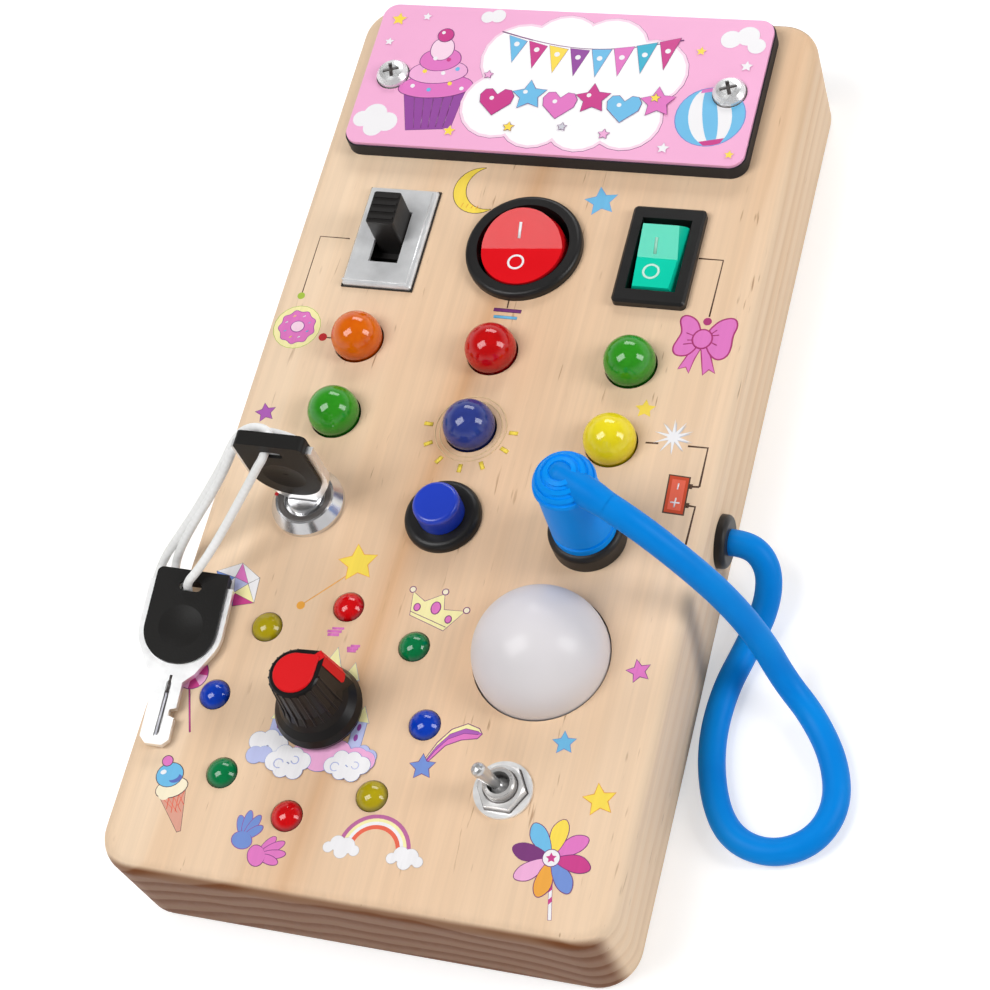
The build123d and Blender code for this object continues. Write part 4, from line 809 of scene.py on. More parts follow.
def starMotifs():
    places = [
        ("sky", "blue", (13.4, 52.6), 3.6, 14), ("purple", "plum", (-43.95, -3.0), 2.25, 20),
        ("sun", "sun", (33.0, 6.2), 2.0, 4), ("pink", "plum", (43.9, -47.6), 2.4, 22),
        ("sky", "blue", (33.5, -63.3), 2.3, 10), ("sun", "amber", (42.4, -72.95), 3.2, 16),
    ]
    shapes = []
    for colour, rim, place, radius, turn in places:
        points = starPoints(place, radius, 5, 0.47, 90 + turn)
        shapes += [("fill", colour, points), ("ring", rim, points, 0.24)]
    shapes += [("fill", "grey", starPoints((39.9, 0.65), 3.5, 10, 0.3, 92)),
               ("fill", "white", starPoints((39.8, 0.75), 3.9, 10, 0.26, 96))]
    return [{"shapes": shapes}]


def moonMotif():
    crescent = arcPoints((-12.9, 53.2), 5.65, 90, 309, 22) + arcPoints((-10.68, 53.98), 5.26, 284, 114, 18)
    glints = [("stroke", "amber", [(-15.9 + step * 1.1, 48.9 - step * 0.1), (-15.6 + step * 1.1, 49.9 - step * 0.15)],
               0.22) for step in range(4)]
    return {"line": ("brown", 0.24), "shapes": [("area", "sun", crescent)] + glints}


def doughnutMotif():
    wavy = []
    for step in range(18):
        reach, turn = 4.05 if step % 2 else 3.25, math.tau * step / 18
        wavy.append((reach * math.cos(turn), reach * math.sin(turn)))
    sugar = []
    for colour, turn in (("sky", 0.3), ("white", 1.1), ("sun", 1.9), ("white", 2.7), ("sky", 3.5), ("sun", 4.3),
                         ("white", 5.0), ("sky", 5.8)):
        x, y = 2.5 * math.cos(turn), 2.5 * math.sin(turn)
        sugar.append(("stroke", colour, [(x - 0.25, y), (x + 0.25, y + 0.25)], 0.26))
    return {"at": (-43.13, 17.19), "turn": 8, "scale": 1.06, "line": ("violet", 0.2), "shapes": [
        ("fill", "cream", discPoints((0, 0), 4.75)), ("ring", "moss", discPoints((0, 0), 4.75), 0.16),
        ("soft", "pink", wavy), *sugar, ("area", "blush", discPoints((0.1, 0.1), 1.35, 1.2))]}


def bowMotif():
    loops = [
        [(40.2, 23.6), (39.9, 25.1), (38.8, 27.0), (36.5, 27.9), (35.4, 26.7), (36.6, 24.1), (36.1, 22.4),
         (35.3, 20.2), (36.1, 18.6), (38.3, 18.6), (39.6, 19.9), (40.3, 21.6)],
        [(41.5, 23.8), (42.0, 25.2), (43.6, 27.3), (46.3, 28.1), (47.2, 26.2), (46.5, 23.9), (46.8, 21.5),
         (46.4, 19.2), (44.6, 18.2), (42.7, 19.6), (41.6, 21.8)],
    ]
    tails = [
        [(39.3, 20.6), (41.0, 20.8), (40.2, 18.2), (39.7, 14.9), (38.9, 16.2), (37.4, 15.6), (38.4, 18.2)],
        [(40.9, 20.8), (42.2, 20.9), (43.3, 18.8), (44.8, 15.4), (43.5, 16.1), (42.5, 14.8), (41.6, 18.3)],
    ]
    creases = [[(39.2, 23.2), (37.4, 23.8)], [(39.0, 22.3), (37.9, 22.2)], [(39.1, 21.6), (37.3, 21.2)],
               [(42.4, 24.1), (43.3, 25.0)], [(42.5, 23.6), (43.9, 23.9)], [(42.4, 22.2), (43.9, 21.6)]]
    return {"line": ("berry", 0.42), "shapes": [
        *[("area", "pink", tail) for tail in tails], *[("soft", "pink", loop) for loop in loops],
        *[("stroke", "berry", crease, 0.26) for crease in creases],
        ("area", "pink", discPoints((40.8, 22.7), 1.9, 2.1))]}


def gemMotif():
    rim = [(-34.11, -38.88), (-38.56, -36.2), (-43.37, -38.56), (-41.7, -42.4), (-37.87, -45.4), (-33.74, -44.2)]
    inner = [(-39.2, -39.4), (-36.1, -40.4), (-38.5, -42.6)]
    facets = [("white", [rim[0], rim[1], inner[1]]), ("pink", [rim[1], inner[0], inner[1]]),
              ("white", [rim[1], rim[2], inner[0]]), ("blue", [rim[2], rim[3], inner[0]]),
              ("white", [rim[3], inner[2], inner[0]]), ("blue", [rim[3], rim[4], inner[2]]),
              ("magenta", [rim[4], rim[5], inner[2]]), ("cream", [rim[5], inner[1], inner[2]]),
              ("white", [rim[5], rim[0], inner[1]]), ("lilac", inner)]
    return {"line": ("line", 0.2), "shapes": [("area", colour, points) for colour, points in facets]}


def wandMotif():
    return {"at": (-15.29, -33.2), "line": ("amber", 0.26), "shapes": [
        ("stroke", "amber", [(-1.6, -3.0), (-8.7, -10.0)], 0.36),
        ("fill", "amber", discPoints((-8.9, -10.2), 0.85)),
        ("area", "sun", starPoints((0, 0), 4.1, 5, 0.5, 104))]}


def crownMotif():
    body = [(-2.66, -37.6), (0.1, -39.3), (3.6, -37.3), (4.3, -40.5), (8.5, -40.3), (5.2, -44.8), (-2.1, -42.5)]
    pearls = [("area", "vanilla", discPoints(place, 0.6)) for place in ((-2.86, -37.2), (3.63, -36.9), (8.7, -40.1))]
    jewels = [("area", "pink", discPoints(*jewel)) for jewel in (
        ((-1.1, -40.7), 0.6, 0.75), ((2.6, -40.4), 0.9, 1.25), ((5.6, -42.4), 0.6, 0.75))]
    return {"line": ("plum", 0.24), "shapes": [
        ("area", "cream", body), ("stroke", "plum", [(-2.2, -41.7), (5.5, -44.0)], 0.2), *pearls, *jewels]}


def castleMotif():
    # middle, foot, width and top of each tower, and the height of its roof
    towers = []
    for x, foot, width, top, roof in (
            (-21.3, -72.0, 3.0, -66.8, 4.0), (-17.8, -70.0, 3.2, -60.5, 4.4), (-14.2, -70.0, 2.6, -54.8, 3.9),
            (-9.9, -70.0, 2.6, -57.0, 3.5), (-5.6, -71.4, 2.5, -65.0, 3.2)):
        half = width / 2
        towers += [("area", "lilac", [(x - half, foot), (x + half, foot), (x + half, top), (x - half, top)]),
                   ("area", "cream", [(x - half * 1.3, top), (x + half * 1.3, top), (x, top + roof)]),
                   ("fill", "violet", discPoints((x, top - 1.1), 0.4, 0.7)),
                   ("fill", "violet", discPoints((x - 0.1, top - 3.2), 0.4, 0.7))]
    clouds = []
    for colour, puffs in (
            ("white", [(-24.2, -71.6, 1.9), (-22.0, -70.6, 1.6), (-20.2, -71.8, 1.9)]),
            ("lilac", [(-24.2, -74.4, 1.7), (-22.4, -74.0, 1.6), (-3.5, -70.6, 1.2), (-2.0, -71.4, 1.3)]),
            ("rose", [(-14.6, -72.6, 2.4), (-11.6, -72.6, 3.2), (-8.2, -71.8, 2.6), (-4.4, -72.6, 2.6),
                      (-2.6, -72.4, 1.9)]),
            ("white", [(-19.9, -75.0, 1.9), (-18.4, -73.4, 1.8), (-16.2, -73.5, 1.7), (-14.6, -74.3, 1.7),
                       (-18.2, -76.4, 1.6), (-15.7, -76.3, 1.7)]),
            ("white", [(-8.6, -74.2, 1.6), (-7.2, -72.7, 1.6), (-4.8, -72.6, 1.6), (-3.0, -73.4, 1.7),
                       (-6.7, -75.2, 1.5), (-4.4, -75.2, 1.6)])):
        clouds += cloudShapes(colour, puffs)
    scrolls = [("stroke", "lilac", arcPoints(centre, radius, start, start + 280, 10), 0.2)
               for centre, radius, start in (((-19.0, -75.4), 0.9, 20), ((-16.0, -74.3), 0.75, 200),
                                             ((-8.0, -74.4), 0.85, 30), ((-4.2, -73.6), 0.7, 200))]
    return {"line": ("blue", 0.15), "shapes": towers + clouds + scrolls}


def cometMotif():
    # the tail is three ribbons between an outer and an inner line
    outer = [(8.5, -70.2), (9.99, -66.7), (12.08, -63.8), (14.79, -62.3), (17.16, -62.9), (17.95, -63.9)]
    inner = [(9.2, -70.6), (9.89, -69.6), (11.65, -67.1), (14.34, -65.6), (17.25, -64.9), (17.95, -63.9)]

    def between(share):
        return [(a[0] + (b[0] - a[0]) * share, a[1] + (b[1] - a[1]) * share) for a, b in zip(outer, inner)]
    ribbons = [("fill", colour, between(low) + between(high)[::-1])
               for colour, low, high in (("cream", 0, 0.3), ("purple", 0.3, 0.6), ("pink", 0.6, 1))]
    return {"line": ("plum", 0.2), "shapes": [
        *ribbons, ("stroke", "plum", between(0.3)[:-1], 0.14), ("stroke", "plum", between(0.6)[:-1], 0.14),
        ("ring", "plum", outer + inner[::-1], 0.2), ("area", "blue", starPoints((8.4, -71.8), 2.6, 5, 0.5, 100))]}


def iceCreamMotif():
    weave = [[(-2.2 + step * 1.1, 0.2), (-0.4 + step * 0.75, -4.2 + abs(step - 1.5) * 1.1)] for step in range(4)]
    weave += [[(2.3 - step * 1.0, 0.2), (0.7 - step * 0.75, -3.8 + abs(step - 1.5))] for step in range(4)]
    return {"at": (-37.77, -84.6), "turn": 26, "line": ("line", 0.2), "shapes": [
        ("area", "cone", [(-2.7, 0.8), (2.7, 0.8), (0.5, -7.4), (-0.3, -7.4)]),
        *[("stroke", "coral", line, 0.14) for line in weave],
        ("area", "vanilla", discPoints((0, 1.6), 3.2, 1.9)), ("fill", "vanilla", discPoints((-1.6, 0.8), 1.2)),
        ("area", "sky", discPoints((0, 4.3), 2.7, 2.4)), ("fill", "shadow", discPoints((1.0, 3.2), 1.3, 0.8)),
        ("fill", "sky", discPoints((0.5, 3.9), 1.3, 0.8)), ("fill", "white", discPoints((-1.1, 5.2), 0.6, 0.45)),
        ("area", "pink", discPoints((0, 7.2), 1.05))]}


def wingMotifs():
    def feathers(colour, edge, place, turn):
        leaves = [("soft", colour, petalPoints((0, -1.6), length, 2.0, 90 + lean))
                  for length, lean in ((5.4, 34), (6.4, 12), (6.2, -12), (5.0, -36))]
        palm = [("area", colour, discPoints((0, -2.0), 2.4, 1.9)), ("fill", colour, discPoints((0, -1.7), 2.1, 1.7))]
        return {"at": place, "turn": turn, "scale": 0.86, "line": (edge, 0.22), "shapes": leaves + palm}
    return [feathers("blue", "violet", (-21.4, -89.2), -12), feathers("pink", "plum", (-16.6, -92.6), -66)]


def rainbowShapes(size):
    bands = [("mauve", 8.75, 9.7), ("cream", 7.9, 8.75), ("white", 7.0, 7.9), ("coral", 5.9, 7.0)]
    shapes = [("fill", colour, bandPoints((0, 0), low * size, high * size, 4, 176, 22))
              for colour, low, high in bands]
    shapes.append(("stroke", "mauve", arcPoints((0, 0), 9.7 * size, 4, 176, 22), 0.2))
    for side in (-1, 1):
        shapes += cloudShapes("white", [(side * 8.7 * size + x * size, y * size, r * size) for x, y, r in (
            (-3.4, -1.0, 1.4), (-1.2, 0.4, 2.0), (1.4, 0.2, 2.1), (0.2, -1.6, 1.8), (3.6, -0.8, 1.4))])
    return shapes


def pinwheelMotif():
    # a toy windmill: eight curved vanes round a white hub, on a striped stick
    shapes = [("area", "white", [(-0.35, 0), (0.35, 0), (0.35, -12.2), (-0.35, -12.2)])]
    for step in range(4):
        y = -2.4 * step
        shapes.append(("fill", "magenta", [(-0.35, y - 1.0), (0.35, y - 0.4), (0.35, y - 1.4), (-0.35, y - 2.0)]))
    vane = [(0, 0), (0, 0), (4.3, 3.9), (8.3, 2.6), (6.6, 0.2), (3.0, -0.5)]
    for index, colour in enumerate(("pink", "sun", "sky", "plum", "rose", "amber", "blue", "magenta")):
        turn = math.radians(index * 45 + 10)
        shapes.append(("soft", colour, [(x * math.cos(turn) - y * math.sin(turn),
                                         x * math.sin(turn) + y * math.cos(turn)) for x, y in vane]))
    shapes += [("area", "white", discPoints((0, 0), 1.7)), ("fill", "magenta", starPoints((0, 0), 1.1, 5, 0.5, 90))]
    return {"at": (36.3, -84.9), "turn": 12, "scale": 0.93, "line": ("plum", 0.2), "shapes": shapes}


def lollipopMotif():
    swirl = [("fill", "rose" if step % 2 else "magenta", bandPoints((0, 0), 0.1, 3.2, step * 45, step * 45 + 45, 5))
             for step in range(8)]
    return {"at": (-41.6, -60.2), "shapes": [
        ("stroke", "plum", [(0.3, -3.0), (3.2, -11.7)], 0.7),
        ("stroke", "magenta", [(0.3, -3.0), (3.2, -11.6)], 0.45),
        *swirl, ("ring", "plum", discPoints((0, 0), 3.2), 0.2)]}


def sparkMotifs():
    shapes = []
    for x, y, reach in ((-15.8, -47.9, 1.1), (-11.3, -50.8, 0.85)):
        for rise, left, right in ((0.62, -0.7, 1.5), (0, -1.4, 1.2), (-0.62, -1.2, 0.9)):
            start, end = (x + left * reach, y + rise * reach), (x + right * reach, y + (rise + 0.2) * reach)
            shapes.append(("stroke", "pink", [start, end], 0.8 * reach))
    return [{"shapes": shapes}]


boardTop, plaqueTop = 25.0, 29.0
facePrints = {
    "circuitPrint": circuitMotifs(), "starPrint": starMotifs(), "moonPrint": [moonMotif()],
    "doughnutPrint": [doughnutMotif()], "bowPrint": [bowMotif()], "gemPrint": [gemMotif()],
    "wandPrint": [wandMotif()], "crownPrint": [crownMotif()], "castlePrint": [castleMotif()],
    "cometPrint": [cometMotif()], "iceCreamPrint": [iceCreamMotif()], "wingPrint": wingMotifs(),
    "rainbowPrint": [{"at": (3.6, -88.9), "turn": -1, "line": ("grey", 0.14), "shapes": rainbowShapes(0.711)}],
    "pinwheelPrint": [pinwheelMotif()], "lollipopPrint": [lollipopMotif()], "sparkPrint": sparkMotifs(),
}
for printName, motifs in facePrints.items():
    printPiece(printName, motifs, boardTop, "woodInk")
print("stage: face printed")


def heartPoints(centre, size):
    outline = [(0, -1), (0.95, -0.1), (1.05, 0.45), (0.8, 0.85), (0.4, 0.9), (0, 0.5)]
    outline += [(-x, y) for x, y in outline[-2:0:-1]]
    return [(centre[0] + x * size, centre[1] + y * size) for x, y in outline]


def cupcakeMotif():
    # pleated case, four swirls of icing, sugar dots and a berry
    pleats = [("stroke", "plum", [(-5.6 + step * 1.87, -2.0), (-4.1 + step * 1.37, -9.4)], 0.2)
              for step in range(1, 6)]
    swirls = []
    for colour, x, y in (("pink", 7.6, -1.0), ("rose", 6.0, 2.2), ("pink", 4.2, 5.0), ("blush", 2.4, 7.4)):
        swirls.append(("soft", colour, [
            (-x, y), (-x * 0.8, y + 2.6), (0, y + 3.3), (x * 0.8, y + 2.6), (x, y), (x * 0.5, y - 1.6), (0, y - 1.9),
            (-x * 0.5, y - 1.6)]))
    dots = [("fill", colour, discPoints((x, y), 0.42)) for colour, x, y in (
        ("white", -4.4, 0.0), ("sky", -1.2, -1.0), ("sun", 2.6, 0.2), ("white", 5.0, -1.0), ("sun", -2.6, 3.2),
        ("white", 1.0, 2.6), ("sky", 3.6, 3.4), ("white", -1.0, 6.0), ("magenta", 1.6, 5.6))]
    return {"at": (-27.6, 76.0), "turn": 6, "scale": 1.16, "line": ("plum", 0.2), "shapes": [
        ("area", "violet", [(-5.8, -1.6), (5.8, -1.6), (4.2, -9.8), (-4.2, -9.8)]), *pleats, *swirls, *dots,
        ("area", "magenta", discPoints((0.2, 11.2), 1.5)), ("fill", "white", discPoints((-0.3, 11.8), 0.35))]}


def scatteredStars(stars):
    return [("area", colour, starPoints((x, y), radius, 5, 0.5, 90)) for colour, x, y, radius in stars]


def buntingMotif():
    # a garland of flags over a row of hearts and stars, on a large pale cloud
    puffs = [(-10.5, 84.0, 8.4), (-12.5, 72.0, 7.9), (-4.0, 69.0, 6.8), (6.0, 68.6, 6.6), (15.5, 70.0, 7.0),
             (17.5, 82.0, 7.8), (8.0, 87.0, 7.8), (-2.0, 87.6, 7.4)]
    rim, middle = 0.6, (3.0, 78.0, 10.5)
    shapes = cloudShapes("blush", [(x, y, radius + rim) for x, y, radius in puffs] + [middle])
    shapes += discs("fill", "snow", [*puffs, middle])
    rope = [(-16.4 + step * 2.2, 90.6 - 3.4 * math.sin(math.pi * step / 18)) for step in range(19)]
    shapes.append(("stroke", "plum", rope, 0.3))
    for index, colour in enumerate(("sky", "magenta", "sun", "violet", "sky", "pink", "teal", "magenta")):
        sag = math.pi * (index + 0.5) / 8
        x, y, slope = -14.6 + index * 4.7, 90.4 - 3.4 * math.sin(sag), -0.32 * math.cos(sag)
        shapes += [("area", colour, [(x, y), (x + 4.3, y + 4.3 * slope), (x + 2.15, y - 7.0)]),
                   ("fill", "white", discPoints((x + 2.15, y - 2.2), 0.6))]
    for index, colour in enumerate(("magenta", "sky", "pink", "magenta", "sky", "pink")):
        x, y = -13.4 + index * 6.9, 73.4 + (1.2 if index % 2 else -0.8)
        outline = starPoints((x, y), 3.9, 5, 0.52, 96) if index % 2 else heartPoints((x, y), 3.5)
        shapes += [("area", colour, outline), ("fill", "white", discPoints((x - 1.0, y + 0.8), 0.5))]
    shapes += scatteredStars([("sun", -9.0, 66.4, 1.3), ("grey", 2.4, 67.2, 1.1), ("rose", 11.6, 66.0, 1.3),
                              ("sun", 20.4, 75.6, 1.2), ("rose", -16.6, 79.2, 1.1)])
    return {"line": ("plum", 0.18), "shapes": shapes}


def ballMotif():
    # a striped beach ball with a pink cap
    radius = 7.2
    rim = discPoints((0, 0), radius, radius, 32)
    upwards = [math.radians(turn) for turn in range(-90, 91, 12)]
    downwards = [math.radians(turn) for turn in range(90, -91, -12)]
    shapes = [("area", "white", rim)]
    for low, high in ((-1.0, -0.62), (-0.22, 0.22), (0.62, 1.0)):
        edge = [(radius * low * math.cos(turn), radius * math.sin(turn)) for turn in upwards]
        back = [(radius * high * math.cos(turn), radius * math.sin(turn)) for turn in downwards]
        shapes.append(("fill", "sky", edge + back))
    shapes += [("fill", "pink", [(-1.6, 6.2), (1.6, 6.2), (1.3, 7.2), (-1.3, 7.2)]),
               ("fill", "magenta", [(-2.6, -5.8), (2.6, -5.8), (1.6, -7.1), (-1.6, -7.1)]),
               ("ring", "blue", rim, 0.22)]
    return {"at": (32.6, 72.0), "turn": 14, "line": ("blue", 0.2), "shapes": shapes}


def plaqueMotifs():
    corners = []
    for puffs in ([(-41.6, 66.4, 2.0), (-39.0, 67.8, 2.6), (-36.0, 66.0, 2.4), (-38.6, 64.4, 2.2)],
                  [(33.0, 91.4, 2.2), (36.4, 92.4, 2.4), (38.6, 90.0, 1.9)],
                  [(-20.6, 94.2, 1.5), (-18.4, 94.6, 1.7)]):
        corners += cloudShapes("white", puffs)
    corners += scatteredStars([
        ("sun", -40.4, 92.6, 1.8), ("white", -34.2, 93.6, 1.1), ("white", -41.0, 86.6, 1.1), ("sun", 27.4, 88.0, 1.2),
        ("white", 37.6, 84.8, 1.4), ("white", 24.6, 63.6, 1.4), ("sun", -21.6, 64.6, 1.4), ("sun", 38.4, 63.0, 1.1)])
    return [{"line": ("rose", 0.16), "shapes": corners}, buntingMotif(), cupcakeMotif(), ballMotif()]


printPiece("plaquePrint", plaqueMotifs(), plaqueTop)

# painted shade: a dark cross in each screw recess, and a dark ring under each screw head of the plaque as painted
# shadow
coverScrews = {"places": [(-37.8, 78.0), (35.4, 78.0)], "rim": 3.5, "rimWidth": 0.34, "lift": 0.02, "turn": 20,
               "depth": 1.4, "arm": 1.76, "half": 0.39}


def screwMotifs():
    arm, half = coverScrews["arm"], coverScrews["half"]
    bars = [[(-x, -y), (x, -y), (x, y), (-x, y)] for x, y in ((arm, half), (half, arm))]
    rim = discPoints((0, 0), coverScrews["rim"], None, 32)
    motifs = []
    for place in coverScrews["places"]:
        motifs += [{"at": place, "shapes": [("ring", "groove", rim, coverScrews["rimWidth"])]},
                   {"at": place, "turn": coverScrews["turn"], "rise": coverScrews["depth"],
                    "shapes": [("fill", "groove", bar) for bar in bars]}]
    return motifs


printPiece("screwRecessShade", screwMotifs(), plaqueTop + coverScrews["lift"])

# I and O of the rockers stand on the caps' own slopes
rockerMarks = {
    "rise": 0.03, "slope": 24, "barLength": 3.3, "barWidth": 0.62, "ringRadius": 1.55, "ringWidth": 0.5,
    "height": 27.3,
    # body, place of the ring, place and height of the bar, and their inks
    "caps": {
        "redRockerMarks": ("round_rocker", (-0.05, 35.35), (-0.4, 41.9), 1.57, "white", "white"),
        "greenRockerMarks": ("square_rocker", (28.0, 35.65), (28.03, 41.0), 1.06, "leaf", "mint"),
    },
}
for printName, (body, ringPlace, barPlace, barHeight, ringInk, barInk) in rockerMarks["caps"].items():
    halfBar = rockerMarks["barLength"] / 2
    printPiece(printName, [
        {"at": ringPlace, "rise": rockerMarks["rise"],
         "shapes": [("ring", ringInk, discPoints((0, 0), rockerMarks["ringRadius"]), rockerMarks["ringWidth"])]},
        {"at": barPlace, "rise": barHeight, "lean": rockerMarks["slope"],
         "shapes": [("stroke", barInk, [(0, -halfBar), (0, halfBar)], rockerMarks["barWidth"])]},
    ], rockerMarks["height"], body=body)

# the red pointer bends over the knob's rim: place, turn, lean, rise, clearance and outline of each panel
pointerStripe = {
    "height": 42.0,
    "panels": [
        ((-13.85, -63.8), -45, 0, 0.03, 0, [(-0.8, 4.8), (0.8, 4.8), (0.8, 6.28), (-0.8, 6.28)]),
        ((-9.42, -59.37), -45, -83, 0, 0.08, [(-0.8, -0.1), (0.8, -0.1), (0.8, 9.6), (-0.8, 9.6)]),
        ((-8.90, -59.98), -90, -85, 0, 0.07,
         [(-0.05, -0.05), (1.6, -0.05), (1.0, 8.8), (0.5, 9.6), (-0.4, 9.6), (-0.85, 9.2)]),
    ],
}
printPiece("knobStripe", [
    {"at": place, "turn": turn, "lean": lean, "rise": rise, "lift": lift, "shapes": [("fill", "dotRed", outline)]}
    for place, turn, lean, rise, lift, outline in pointerStripe["panels"]
], pointerStripe["height"], "capRed", "knob")

# painted shade: a dark ring over the lock's recessed annulus; the red dot is the lock's own mark
lockShade = {"centre": (-28.8, -22.0), "radius": 4.85, "width": 1.25, "top": 28.02,
             "dot": (-34.65, -22.1), "dotRadius": 0.4, "dotTop": 28.12}
printPiece("lockRecessShade", [{"at": lockShade["centre"], "shapes": [
    ("ring", "grey", discPoints((0, 0), lockShade["radius"], None, 32), lockShade["width"])]}],
    lockShade["top"], "paintedShadeMetal", "root")
printPiece("lockDot", [{"at": lockShade["dot"], "shapes": [
    ("fill", "dotRed", discPoints((0, 0), lockShade["dotRadius"]))]}], lockShade["dotTop"])

# painted highlight: a bright strip along the slide plate's lower and right edges
slidePlateEdgeHighlight = {"route": [(-36.2, 28.8), (-22.2, 28.8), (-22.2, 50.9)], "width": 0.5, "height": 26.21}
printPiece("slidePlateEdgeHighlight", [{"shapes": [("stroke", "snow", slidePlateEdgeHighlight["route"], slidePlateEdgeHighlight["width"])]}],
           slidePlateEdgeHighlight["height"], "brightNickel", "root")

# painted shadow rings at the joints between the toggle's washer, nut and bush: radius, sides, width and height
toggleJointShadows = {"toggleNutShadow": (4.75, 6, 0.4, 25.62), "toggleBushShadow": (3.2, 28, 0.32, 27.42)}
for printName, (radius, sides, width, height) in toggleJointShadows.items():
    printPiece(printName, [{"at": (24.6, -74.0), "shapes": [
        ("ring", "groove", discPoints((0, 0), radius, None, sides), width)]}], height, "paintedShadeMetal", "root")

# painted shade along the spare key's groove, drawn on the key's own plane: ink, two ends and width of each stroke
spareGrooveShade = {
    "height": 28.5,
    "plane": {"at": (-45.8, -41.1), "turn": 2.86, "lean": 3.15, "roll": 10, "lift": 0.83},
    "strokes": [
        ("grey", (0.32, -24.2), (0.1, -33.2), 0.46), ("groove", (0.05, -24.4), (-0.2, -33.4), 0.15),
        ("groove", (0.6, -24.4), (0.42, -33.2), 0.13), ("groove", (0.4, -21.2), (0.32, -24.8), 0.5)],
}
printPiece("spareKeyGrooveShade", [dict(spareGrooveShade["plane"], shapes=[
    ("stroke", colour, [start, end], width) for colour, start, end, width in spareGrooveShade["strokes"]])],
    spareGrooveShade["height"])


def latheMesh(outline, centre, steps):
    # outline runs from the rim to the axis as (radius, height)
    shape = bmesh.new()
    points = [shape.verts.new(metres(centre[0] + radius, centre[1], height)) for radius, height in outline]
    edges = [shape.edges.new(pair) for pair in zip(points, points[1:])]
    bmesh.ops.spin(shape, geom=points + edges, cent=metres(*centre, 0), axis=(0, 0, 1), angle=math.tau, steps=steps,
                   use_merge=True)
    bmesh.ops.remove_doubles(shape, verts=shape.verts, dist=weldGap["turned"])
    bmesh.ops.recalc_face_normals(shape, faces=shape.faces)
    return shape


def addPiece(name, shape, finish, body):
    smoothOver(shape)
    mesh = bpy.data.meshes.new(name)
    shape.to_mesh(mesh)
    shape.free()
    mesh.materials.append(finishes[finish])
    piece = link(name, mesh)
    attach(piece, body)


# the plug's moulded crown is stepped and a tapered neck runs out to the cable
plugCrown = {
    "centre": (28.5, -22.1),
    "foot": (5.74, 46.1),
    "top": [(1.6, 50.96), (0, 50.98)],
    "arcCentre": (0.826, 46.052),
    "arcRadius": 4.93,
    "ridges": [(8, 18), (26, 37), (45, 56), (64, 75)],  # degrees above the level
    "ridgeHeight": 0.32,
    "ridgeEdge": 1.5,
    "steps": 72,
    "neckStart": (28.3, -22.0, 48.95),
    "neckEnd": (36.1, -25.2, 46.9),
    "neckRadius": 2.72,
    "neckProfile": [(2.72, 0.0), (2.84, 3.0), (2.88, 6.6), (2.80, 7.8), (2.68, 8.9), (2.56, 10.2)],
    "neckSteps": 48,
}


def crownOutline():
    # ridges stand on the plug's rounded shoulder
    outline = [plugCrown["foot"]]
    edge = plugCrown["ridgeEdge"]
    for low, high in plugCrown["ridges"]:
        for angle, height in ((low, 0), (low + edge, 1), (high, 1), (high + edge, 0)):
            reach = plugCrown["arcRadius"] + height * plugCrown["ridgeHeight"]
            outline.append((plugCrown["arcCentre"][0] + reach * math.cos(math.radians(angle)),
                            plugCrown["arcCentre"][1] + reach * math.sin(math.radians(angle))))
    return outline + plugCrown["top"]


addPiece("plugCrown", latheMesh(crownOutline(), plugCrown["centre"], plugCrown["steps"]), "plugBlue", "plug")
neckStart, neckEnd = metres(*plugCrown["neckStart"]), metres(*plugCrown["neckEnd"])
neckTurn = (neckEnd - neckStart).to_track_quat("Z", "Y").to_matrix().to_4x4()
neckShape = latheMesh(plugCrown["neckProfile"], (0, 0), plugCrown["neckSteps"])
neckShape.transform(Matrix.Translation(neckStart) @ neckTurn)
bmesh.ops.create_uvsphere(neckShape, u_segments=plugCrown["neckSteps"], v_segments=plugCrown["neckSteps"] // 2,
                          radius=plugCrown["neckRadius"] / 1000, matrix=Matrix.Translation(neckStart) @ neckTurn)
addPiece("plugNeck", neckShape, "cableBlue", "plug")

# grip ribs round the knob, apart from a gap for the pointer; each runs through points at a radius and height
knobRibs = {"centre": (-13.85, -63.8), "count": 22, "points": [(6.0, 31.2), (5.5, 33.5), (4.78, 41.6)],
            "thickness": 0.44, "gapTurn": 45, "gapHalf": 32}
ribShape = bmesh.new()
for step in range(knobRibs["count"]):
    angle = math.tau * step / knobRibs["count"]
    if abs(math.degrees(angle) - knobRibs["gapTurn"]) < knobRibs["gapHalf"]:
        continue
    route = [(knobRibs["centre"][0] + r * math.cos(angle), knobRibs["centre"][1] + r * math.sin(angle), z)
             for r, z in knobRibs["points"]]
    rib = splineMesh("knobRib", route, knobRibs["thickness"], 4, 2)
    ribShape.from_mesh(rib)
    bpy.data.meshes.remove(rib)
addPiece("knobRibs", ribShape, "knobBlack", "knob")

# the button's return spring, as a fixed coil
buttonSpring = {"centre": (-0.85, -21.6), "radius": 3.4, "low": 10.35, "high": 20.15, "turns": 5, "wire": 0.7,
                "stepsPerTurn": 16, "floor": 10.0, "pressed": 0.71}
springRoute = []
springSteps = buttonSpring["turns"] * buttonSpring["stepsPerTurn"]
for step in range(springSteps + 1):
    angle = math.tau * step / buttonSpring["stepsPerTurn"]
    springRoute.append((buttonSpring["centre"][0] + buttonSpring["radius"] * math.cos(angle),
                        buttonSpring["centre"][1] + buttonSpring["radius"] * math.sin(angle),
                        buttonSpring["low"] + (buttonSpring["high"] - buttonSpring["low"]) * step / springSteps))
returnSpring = link("returnSpring", splineMesh("returnSpring", springRoute, buttonSpring["wire"], 2, 3))
returnSpring.data.materials.append(finishes["zinc"])
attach(returnSpring, "root")
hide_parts("push_button_spring")
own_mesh(returnSpring)
print("stage: plaque, marks, crown, ribs and spring added")

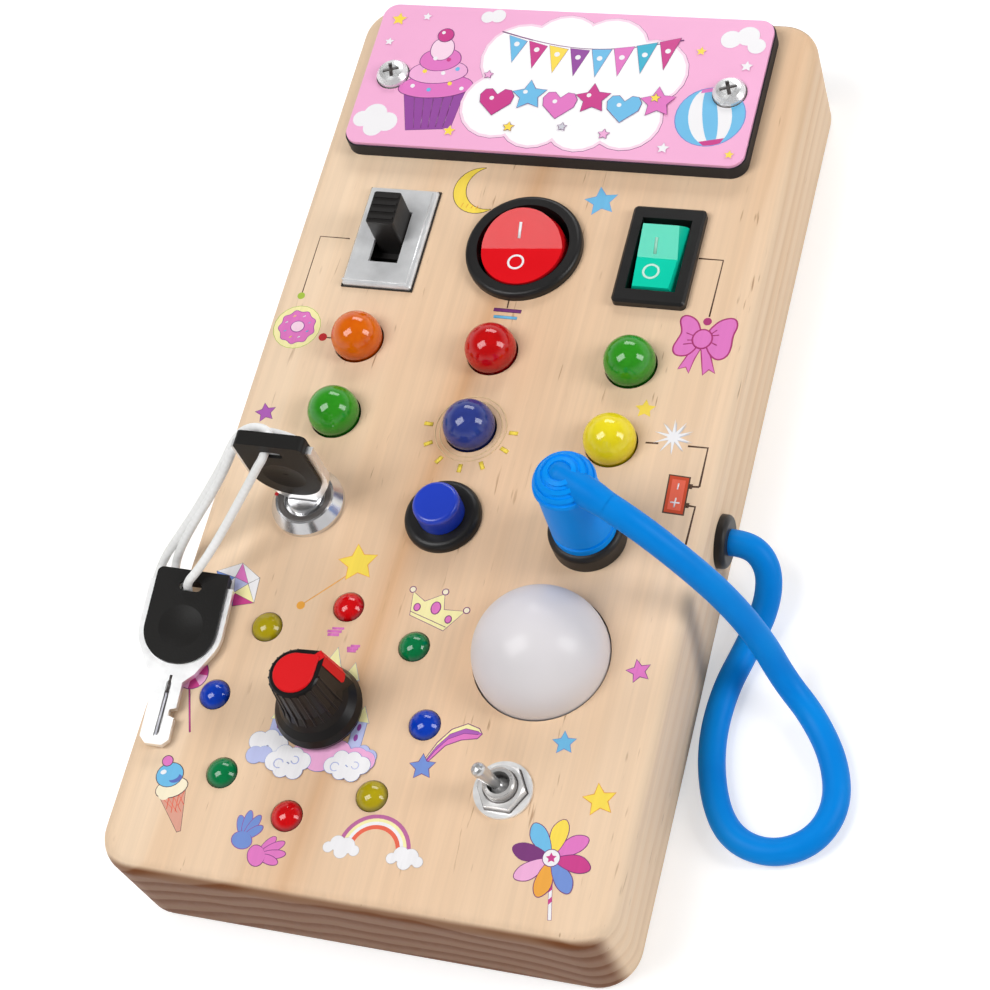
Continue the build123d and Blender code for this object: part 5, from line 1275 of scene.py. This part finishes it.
studio = {
    "middle": (0, -5, 20),
    "lampDistance": 900,
    "lamps": {
        "leftBox": {"toward": (-0.39, -0.24, 0.89), "size": (380, 560), "power": 5.05},
        "rightBox": {"toward": (0.833, 0.10, 0.54), "size": (300, 480), "power": 3.4},
        "backBox": {"toward": (-0.035, 0.823, 0.566), "size": (520, 240), "power": 2.4},
        "frontFill": {"toward": (0.20, -0.86, 0.46), "size": (700, 300), "power": 1.2},
    },
    "worldLevel": 0.5,
    "ceiling": (0.10, 0.60, 1.0, 0.10),  # start, end, and brightness at both
    "floorHalf": 3.0,
    "floorDrop": 0.0001,
    "floorShade": 0.88,
    "floorGlow": 0.46,
    "floorFleck": (0.3, 0.7, 0, 0.02),
    "fleckScale": 40.0,
}


def seenRays(tree):
    # 1 where the camera, a mirror image or a clear part shows the surface
    rays = tree.nodes.new("ShaderNodeLightPath").outputs
    return sums(tree, "MAXIMUM", rays["Is Camera Ray"],
                sums(tree, "MAXIMUM", rays["Is Glossy Ray"], rays["Is Transmission Ray"]))


def buildStudio():
    middle = metres(*studio["middle"])
    for name, lamp in studio["lamps"].items():
        light = bpy.data.lights.new(name, "AREA")
        light.shape = "RECTANGLE"
        light.size, light.size_y = (side / 1000 for side in lamp["size"])
        light.energy = lamp["power"]
        box = link(name, light)
        box.location = middle + Vector(lamp["toward"]).normalized() * studio["lampDistance"] / 1000
        box.rotation_euler = (middle - box.location).to_track_quat("-Z", "Y").to_euler()
        box.visible_glossy = name != "frontFill"
    world = bpy.data.worlds.new("studioWorld")
    world.use_nodes = True
    scene.world = world
    tree = world.node_tree
    background = tree.nodes["Background"]
    # the room is white at eye height and dims towards the ceiling
    height = addNode(tree, "SeparateXYZ", {0: tree.nodes.new("ShaderNodeTexCoord").outputs["Generated"]}).outputs[2]
    tree.links.new(greyOf(tree, eased(tree, height, *studio["ceiling"])), background.inputs["Color"])
    tree.links.new(ranged(tree, seenRays(tree), 0, 1, studio["worldLevel"], 1.0), background.inputs["Strength"])

    floorShape = bmesh.new()
    bmesh.ops.create_grid(floorShape, x_segments=2, y_segments=2, size=studio["floorHalf"])
    bmesh.ops.translate(floorShape, verts=floorShape.verts, vec=(0, 0, -studio["floorDrop"]))
    floorMesh = bpy.data.meshes.new("studioFloor")
    floorShape.to_mesh(floorMesh)
    floorShape.free()
    floor = link("studioFloor", floorMesh)
    paper, tree, shader = newMaterial("floorPaper", Roughness=0.9, Specular_IOR_Level=0.1)
    shade = linear((studio["floorShade"] * 255,) * 3)
    fleck = noiseOf(tree, objectPlace(tree), studio["fleckScale"], 2.0, 0.5)
    tree.links.new(mixed(tree, ranged(tree, fleck, *studio["floorFleck"]), (*shade, 1), (1, 1, 1, 1)),
                   shader.inputs["Base Color"])
    shader.inputs["Emission Color"].default_value = (1, 1, 1, 1)
    tree.links.new(times(tree, seenRays(tree), studio["floorGlow"]), shader.inputs["Emission Strength"])
    floorMesh.materials.append(paper)


buildStudio()
scene.view_settings.view_transform = "Standard"
print("stage: studio lit")
